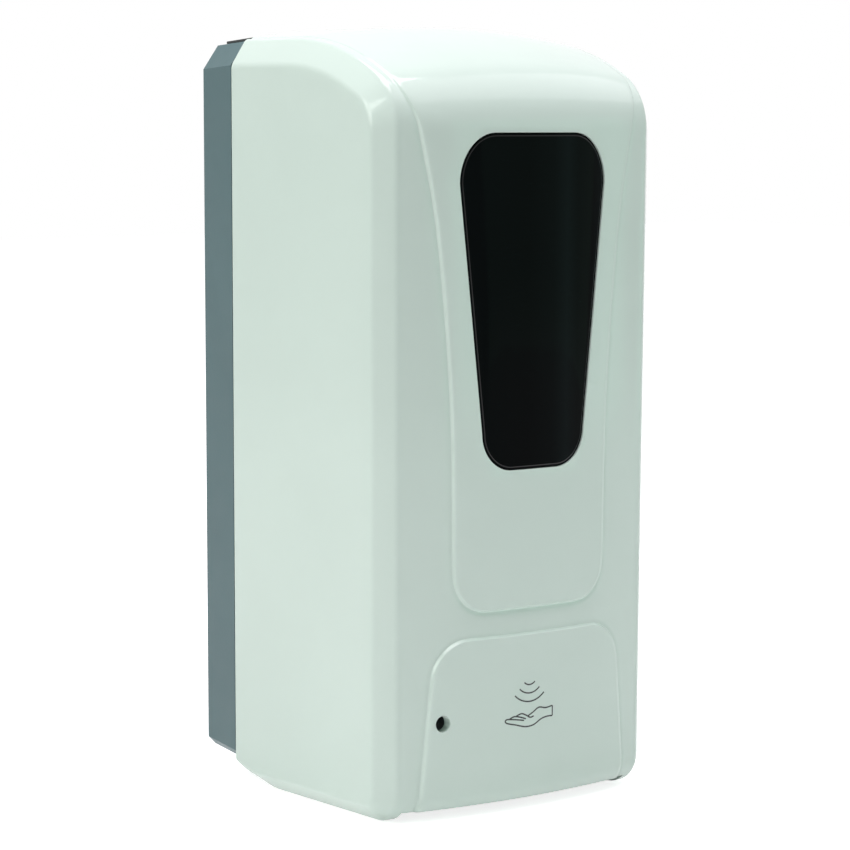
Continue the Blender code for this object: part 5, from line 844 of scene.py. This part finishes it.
def smoked_pane():
    """Nearly black lens with a painted reflection: a little lighter in an upright band and along its
    right edge.
    """
    finish = new_finish("smoked_pane", 0.06, Specular_IOR_Level=0.02)
    tree = finish.node_tree
    place = tree.nodes.new("ShaderNodeTexCoord")
    split = tree.nodes.new("ShaderNodeSeparateXYZ")
    across = tree.nodes.new("ShaderNodeMapRange")
    across.inputs["From Min"].default_value = -WINDOW_HIGH_HALF
    across.inputs["From Max"].default_value = WINDOW_HIGH_HALF
    ramp = tree.nodes.new("ShaderNodeValToRGB")
    stops = ramp.color_ramp.elements
    # The ramp paints the reflection band across the lens
    for index, (share, tone) in enumerate(PANE_REFLECTION_TONES):
        stop = stops[index] if index < 2 else stops.new(share)
        stop.position = share
        stop.color = (*(part * tone for part in PANE_TINT), 1.0)
    tree.links.new(place.outputs["Object"], split.inputs["Vector"])
    tree.links.new(split.outputs["X"], across.inputs["Value"])
    tree.links.new(across.outputs["Result"], ramp.inputs["Fac"])
    tree.links.new(ramp.outputs["Color"], tree.nodes["Principled BSDF"].inputs["Base Color"])
    sheen_spots(finish, pattern(finish, SHEEN_PATCH, 3.0), 0.05, 0.08)
    relief(finish, pattern(finish, 0.02), 0.00002)
    return finish


def metal(name, dark, light, rough, depth):
    """Machined or drawn metal with fine marks along one direction."""
    finish = new_finish(name, sum(rough) / 2, 1.0)
    marks = pattern(finish, METAL_MARK, 4.0, METAL_STRETCH)
    tint(finish, pattern(finish, METAL_TONE_PATCH, 3.0), dark, light)
    sheen_spots(finish, marks, *rough)
    relief(finish, marks, depth)
    return finish


WHITE_GLOSS = moulded(
    "white_gloss", (0.671, 0.806, 0.736), (0.687, 0.824, 0.753), (0.09, 0.12), 0.0035, 0.000006,
    Specular_IOR_Level=0.5,
)
GREY_SATIN = moulded(
    "grey_satin", (0.070, 0.135, 0.146), (0.079, 0.150, 0.161), (0.38, 0.46), 0.0007, 0.00003,
)
SMOKED_GLOSS = moulded(
    "smoked_gloss", (0.0012, 0.0026, 0.0028), (0.0022, 0.0040, 0.0042), (0.05, 0.08), 0.02, 0.00002,
    Specular_IOR_Level=0.06,
)
SMOKED_PANE = smoked_pane()
SMOKED_EDGE = moulded(
    "smoked_edge", (0.002, 0.003, 0.003), (0.004, 0.006, 0.006), (0.10, 0.14), 0.02, 0.00001,
    Specular_IOR_Level=0.25,
)
BLACK_SATIN = moulded(
    "black_satin", (0.022, 0.026, 0.026), (0.034, 0.038, 0.038), (0.40, 0.50), 0.0006, 0.00003,
)
LIGHT_GREY = moulded(
    "light_grey", (0.47, 0.49, 0.50), (0.52, 0.54, 0.55), (0.42, 0.52), 0.0008, 0.00003,
)
MID_GREY = moulded("mid_grey", (0.27, 0.29, 0.30), (0.31, 0.33, 0.34), (0.42, 0.52), 0.0008, 0.00003)
GEAR_WHITE = moulded(
    "gear_white", (0.80, 0.78, 0.71), (0.86, 0.85, 0.79), (0.34, 0.44), 0.0010, 0.00002,
)
SILICONE = moulded(
    "milky_silicone", (0.72, 0.75, 0.75), (0.80, 0.82, 0.82), (0.28, 0.38), 0.0030, 0.00003,
    Subsurface_Weight=0.2,
)
CLEAR = moulded(
    "clear_plastic", (0.86, 0.91, 0.93), (0.92, 0.95, 0.96), (0.07, 0.13), 0.0050, 0.00002,
    Transmission_Weight=0.92, IOR=1.46,
)
PRINT_INK = moulded(
    "print_ink", (0.010, 0.018, 0.016), (0.020, 0.030, 0.028), (0.35, 0.50), 0.0005, 0.000004,
)
BOARD_GREEN = moulded(
    "board_green", (0.012, 0.13, 0.055), (0.025, 0.20, 0.09), (0.28, 0.40), 0.0008, 0.00004,
)
CELL_JACKET = moulded(
    "cell_jacket", (0.035, 0.12, 0.24), (0.05, 0.16, 0.30), (0.22, 0.32), 0.0040, 0.00002,
)
LEAD_RED = moulded("lead_red", (0.45, 0.02, 0.02), (0.58, 0.04, 0.03), (0.38, 0.48), 0.0020, 0.00003)
LEAD_BLACK = moulded(
    "lead_black", (0.015, 0.015, 0.016), (0.03, 0.03, 0.03), (0.38, 0.48), 0.0020, 0.00003,
)
SEAL_RUBBER = moulded(
    "seal_rubber", (0.02, 0.02, 0.02), (0.045, 0.045, 0.045), (0.60, 0.75), 0.0008, 0.00004,
)
STEEL = metal("steel", (0.52, 0.53, 0.54), (0.66, 0.67, 0.68), (0.24, 0.36), 0.00002)
BRASS = metal("brass", (0.62, 0.46, 0.20), (0.76, 0.60, 0.31), (0.24, 0.36), 0.00002)

# Finish and edge rounding of each solid that gets a softened copy
NODE_SLOTS = {entry["node"]: entry["material_slot"] for entry in frame["record"]["subparts"]}
NODE_FINISHES = {
    "back_plate": (GREY_SATIN, 0.0005),
    "lock_plate": (BLACK_SATIN, 0.0002),
    "lock_cylinder": (STEEL, 0.0002),
    "lock_cam": (STEEL, 0.0002),
    "cam_screw": (STEEL, 0.0002),
    "window_frame": (BLACK_SATIN, 0.0003),
    "hinge_pin_left": (STEEL, 0.0002),
    "hinge_pin_right": (STEEL, 0.0002),
    "chassis": (LIGHT_GREY, 0.0004),
    "chassis_screw_1": (STEEL, 0.00015),
    "chassis_screw_2": (STEEL, 0.00015),
    "chassis_screw_3": (STEEL, 0.00015),
    "chassis_screw_4": (STEEL, 0.00015),
    "battery_box": (MID_GREY, 0.0004),
    "battery_door": (MID_GREY, 0.0004),
    "battery_cell_1": (CELL_JACKET, 0.0),
    "battery_cell_2": (CELL_JACKET, 0.0),
    "battery_cell_3": (CELL_JACKET, 0.0),
    "battery_cell_4": (CELL_JACKET, 0.0),
    "contact_spring_left": (STEEL, 0.0),
    "contact_spring_right": (STEEL, 0.0),
    "contact_strip_1": (STEEL, 0.0),
    "contact_strip_2": (STEEL, 0.0),
    "bottle": (CLEAR, 0.0),
    "filler_cap": (LIGHT_GREY, 0.0003),
    "cap_seal": (SILICONE, 0.0),
    "outlet_seal": (SEAL_RUBBER, 0.0),
    "mechanism_case": (MID_GREY, 0.0004),
    "case_front": (MID_GREY, 0.0004),
    "case_screw_1": (STEEL, 0.00015),
    "case_screw_2": (STEEL, 0.00015),
    "case_screw_3": (STEEL, 0.00015),
    "case_screw_4": (STEEL, 0.00015),
    "pump_body": (LIGHT_GREY, 0.0003),
    "pump_cover": (CLEAR, 0.0002),
    "pump_tube": (SILICONE, 0.0),
    "pump_rotor": (LIGHT_GREY, 0.0002),
    "pump_gear": (GEAR_WHITE, 0.0),
    "pump_roller_1": (GEAR_WHITE, 0.0002),
    "pump_roller_2": (GEAR_WHITE, 0.0002),
    "pump_roller_3": (GEAR_WHITE, 0.0002),
    "nozzle": (BLACK_SATIN, 0.0003),
    "idler_gear": (GEAR_WHITE, 0.0),
    "idler_axle": (STEEL, 0.0),
    "motor": (STEEL, 0.0004),
    "motor_pinion": (BRASS, 0.0),
    "motor_lead_red": (LEAD_RED, 0.0),
    "motor_lead_black": (LEAD_BLACK, 0.0),
    "main_board": (BOARD_GREEN, 0.0),
    "infrared_emitter": (SMOKED_GLOSS, 0.0),
    "infrared_receiver": (SMOKED_GLOSS, 0.0),
    "sensor_window": (SMOKED_GLOSS, 0.0003),
    "power_switch": (BLACK_SATIN, 0.0002),
    "switch_slider": (LIGHT_GREY, 0.0002),
    "power_jack": (BLACK_SATIN, 0.0002),
    "indicator_holder": (BLACK_SATIN, 0.0003),
    "indicator_light": (CLEAR, 0.0),
}


def make_softened(node, finish, width):
    """Copy of a solid with merged faces, rounded edges and smooth shading, in place of the plain one."""
    source = frame["nodes"][node]
    piece = bpy.data.objects.new(node + "_finished", source.data.copy())
    bpy.context.scene.collection.objects.link(piece)
    only(piece)
    bpy.ops.mesh.customdata_custom_splitnormals_clear()
    edit(
        piece,
        lambda: bpy.ops.mesh.remove_doubles(threshold=MERGE_DISTANCE),
        lambda: bpy.ops.mesh.dissolve_limited(angle_limit=math.radians(FLAT_DEG)),
    )
    if width:
        soften(piece, width)
    else:
        shade(piece)
    even_shading(piece)
    dress(piece, finish, source["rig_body"], NODE_SLOTS[node], node)


# Stage, light and camera

FLOOR_SIZE = 8.0
FLOOR_DROP = 0.0004
FLOOR_TONES = ((0.86, 0.86, 0.86), (0.88, 0.88, 0.88))
FLOOR_PATCH = 0.6
FLOOR_GLOW = 0.8
SHADOW_NEAR = 0.3
SHADOW_FAR = 1.0
WORLD_LEVEL = 0.10
LAMP_AIM = (0.0, -0.05, 0.0)
CAMERA_PLACE = (-0.67222, -0.91357, 0.10521)
CAMERA_SENSOR = 36.0
CAMERA_LENS = 127.85
CAMERA_TURN_DEG = -37.92
CAMERA_DOWN_DEG = 5.96
CAMERA_ROLL_DEG = 0.255


def shown_background(tree, lighting, shown):
    """Strength that is one value for lighting and another where camera, gloss or glass show it."""
    path = tree.nodes.new("ShaderNodeLightPath")
    sight = tree.nodes.new("ShaderNodeMath")
    sight.operation = "MAXIMUM"
    tree.links.new(path.outputs["Is Camera Ray"], sight.inputs[0])
    tree.links.new(path.outputs["Is Transmission Ray"], sight.inputs[1])
    seen = tree.nodes.new("ShaderNodeMath")
    seen.operation = "MAXIMUM"
    tree.links.new(sight.outputs["Value"], seen.inputs[0])
    tree.links.new(path.outputs["Is Glossy Ray"], seen.inputs[1])
    level = tree.nodes.new("ShaderNodeMapRange")
    level.inputs["To Min"].default_value = lighting
    level.inputs["To Max"].default_value = shown
    tree.links.new(seen.outputs["Value"], level.inputs["Value"])
    return level


def make_stage():
    """Pale floor that keeps the dispenser's shadow, and a white surround for the camera."""
    bpy.ops.mesh.primitive_plane_add(size=FLOOR_SIZE, location=(0.0, 0.0, COVER_BOTTOM - FLOOR_DROP))
    floor = bpy.context.object
    floor.name = "studio_floor"
    finish = new_finish("studio_floor", 0.9)
    tree = finish.node_tree
    tint(finish, pattern(finish, FLOOR_PATCH), *FLOOR_TONES)
    shader = tree.nodes["Principled BSDF"]
    shader.inputs["Specular IOR Level"].default_value = 0.0
    shader.inputs["Emission Color"].default_value = (1.0, 1.0, 1.0, 1.0)
    place = tree.nodes.new("ShaderNodeTexCoord")
    distance = tree.nodes.new("ShaderNodeVectorMath")
    distance.operation = "LENGTH"
    tree.links.new(place.outputs["Object"], distance.inputs[0])
    glow = tree.nodes.new("ShaderNodeMapRange")
    glow.inputs["From Min"].default_value = SHADOW_NEAR
    glow.inputs["From Max"].default_value = SHADOW_FAR
    glow.inputs["To Min"].default_value = FLOOR_GLOW
    tree.links.new(distance.outputs["Value"], glow.inputs["Value"])
    shown = shown_background(tree, 0.0, 1.0)
    tree.links.new(glow.outputs["Result"], shown.inputs["To Max"])
    tree.links.new(shown.outputs["Result"], shader.inputs["Emission Strength"])
    floor.data.materials.append(finish)

    world = bpy.data.worlds.new("studio")
    bpy.context.scene.world = world
    world.use_nodes = True
    links = world.node_tree.links
    background = world.node_tree.nodes["Background"]
    background.inputs["Color"].default_value = (1.0, 1.0, 1.0, 1.0)
    shown = shown_background(world.node_tree, WORLD_LEVEL, 1.0)
    links.new(shown.outputs["Result"], background.inputs["Strength"])


def add_lamp(name, place, size, roll_deg, power, colour):
    """Soft rectangular lamp aimed at the dispenser."""
    lamp = bpy.data.lights.new(name, "AREA")
    lamp.shape = "RECTANGLE"
    lamp.size, lamp.size_y = size
    lamp.energy = power
    lamp.color = colour
    holder = bpy.data.objects.new(name, lamp)
    bpy.context.scene.collection.objects.link(holder)
    holder.location = place
    aimed = (Vector(LAMP_AIM) - Vector(place)).to_track_quat("-Z", "Y")
    holder.rotation_euler = (aimed @ Quaternion((0.0, 0.0, 1.0), math.radians(roll_deg))).to_euler()


def make_light():
    """Broad light from the left and above, with weaker lamps high and low on the right."""
    add_lamp("left_softbox", (-1.42, -0.02, 0.72), (0.9, 0.9), 0.0, 9.1, (0.94, 1.0, 0.93))
    add_lamp("top_softbox", (-0.1, -0.15, 1.5), (1.2, 1.0), 0.0, 23.3, (1.0, 0.93, 0.985))
    add_lamp("brow_softbox", (0.907, -0.525, 1.275), (1.7, 0.8), -29.4, 4.0, (1.0, 0.93, 0.98))
    add_lamp("front_softbox", (0.9, -1.1, -0.10), (1.0, 1.2), 0.0, 3.0, (0.45, 1.0, 0.72))


def make_camera():
    """Camera at the photograph's place and angle."""
    camera = bpy.data.cameras.new("camera")
    camera.sensor_width = CAMERA_SENSOR
    camera.lens = CAMERA_LENS
    camera.clip_start = 0.01
    holder = bpy.data.objects.new("camera", camera)
    bpy.context.scene.collection.objects.link(holder)
    turn = Matrix.Rotation(math.radians(CAMERA_TURN_DEG), 4, "Z")
    turn = turn @ Matrix.Rotation(math.radians(90 - CAMERA_DOWN_DEG), 4, "X")
    turn = turn @ Matrix.Rotation(math.radians(CAMERA_ROLL_DEG), 4, "Z")
    holder.matrix_world = Matrix.Translation(CAMERA_PLACE) @ turn
    bpy.context.scene.camera = holder


make_stage()
make_light()
make_camera()
make_cover()
make_lens()
make_sensor_mark()
for node_name, (node_finish, edge_width) in NODE_FINISHES.items():
    make_softened(node_name, node_finish, edge_width)

bpy.context.scene.view_settings.view_transform = "Standard"
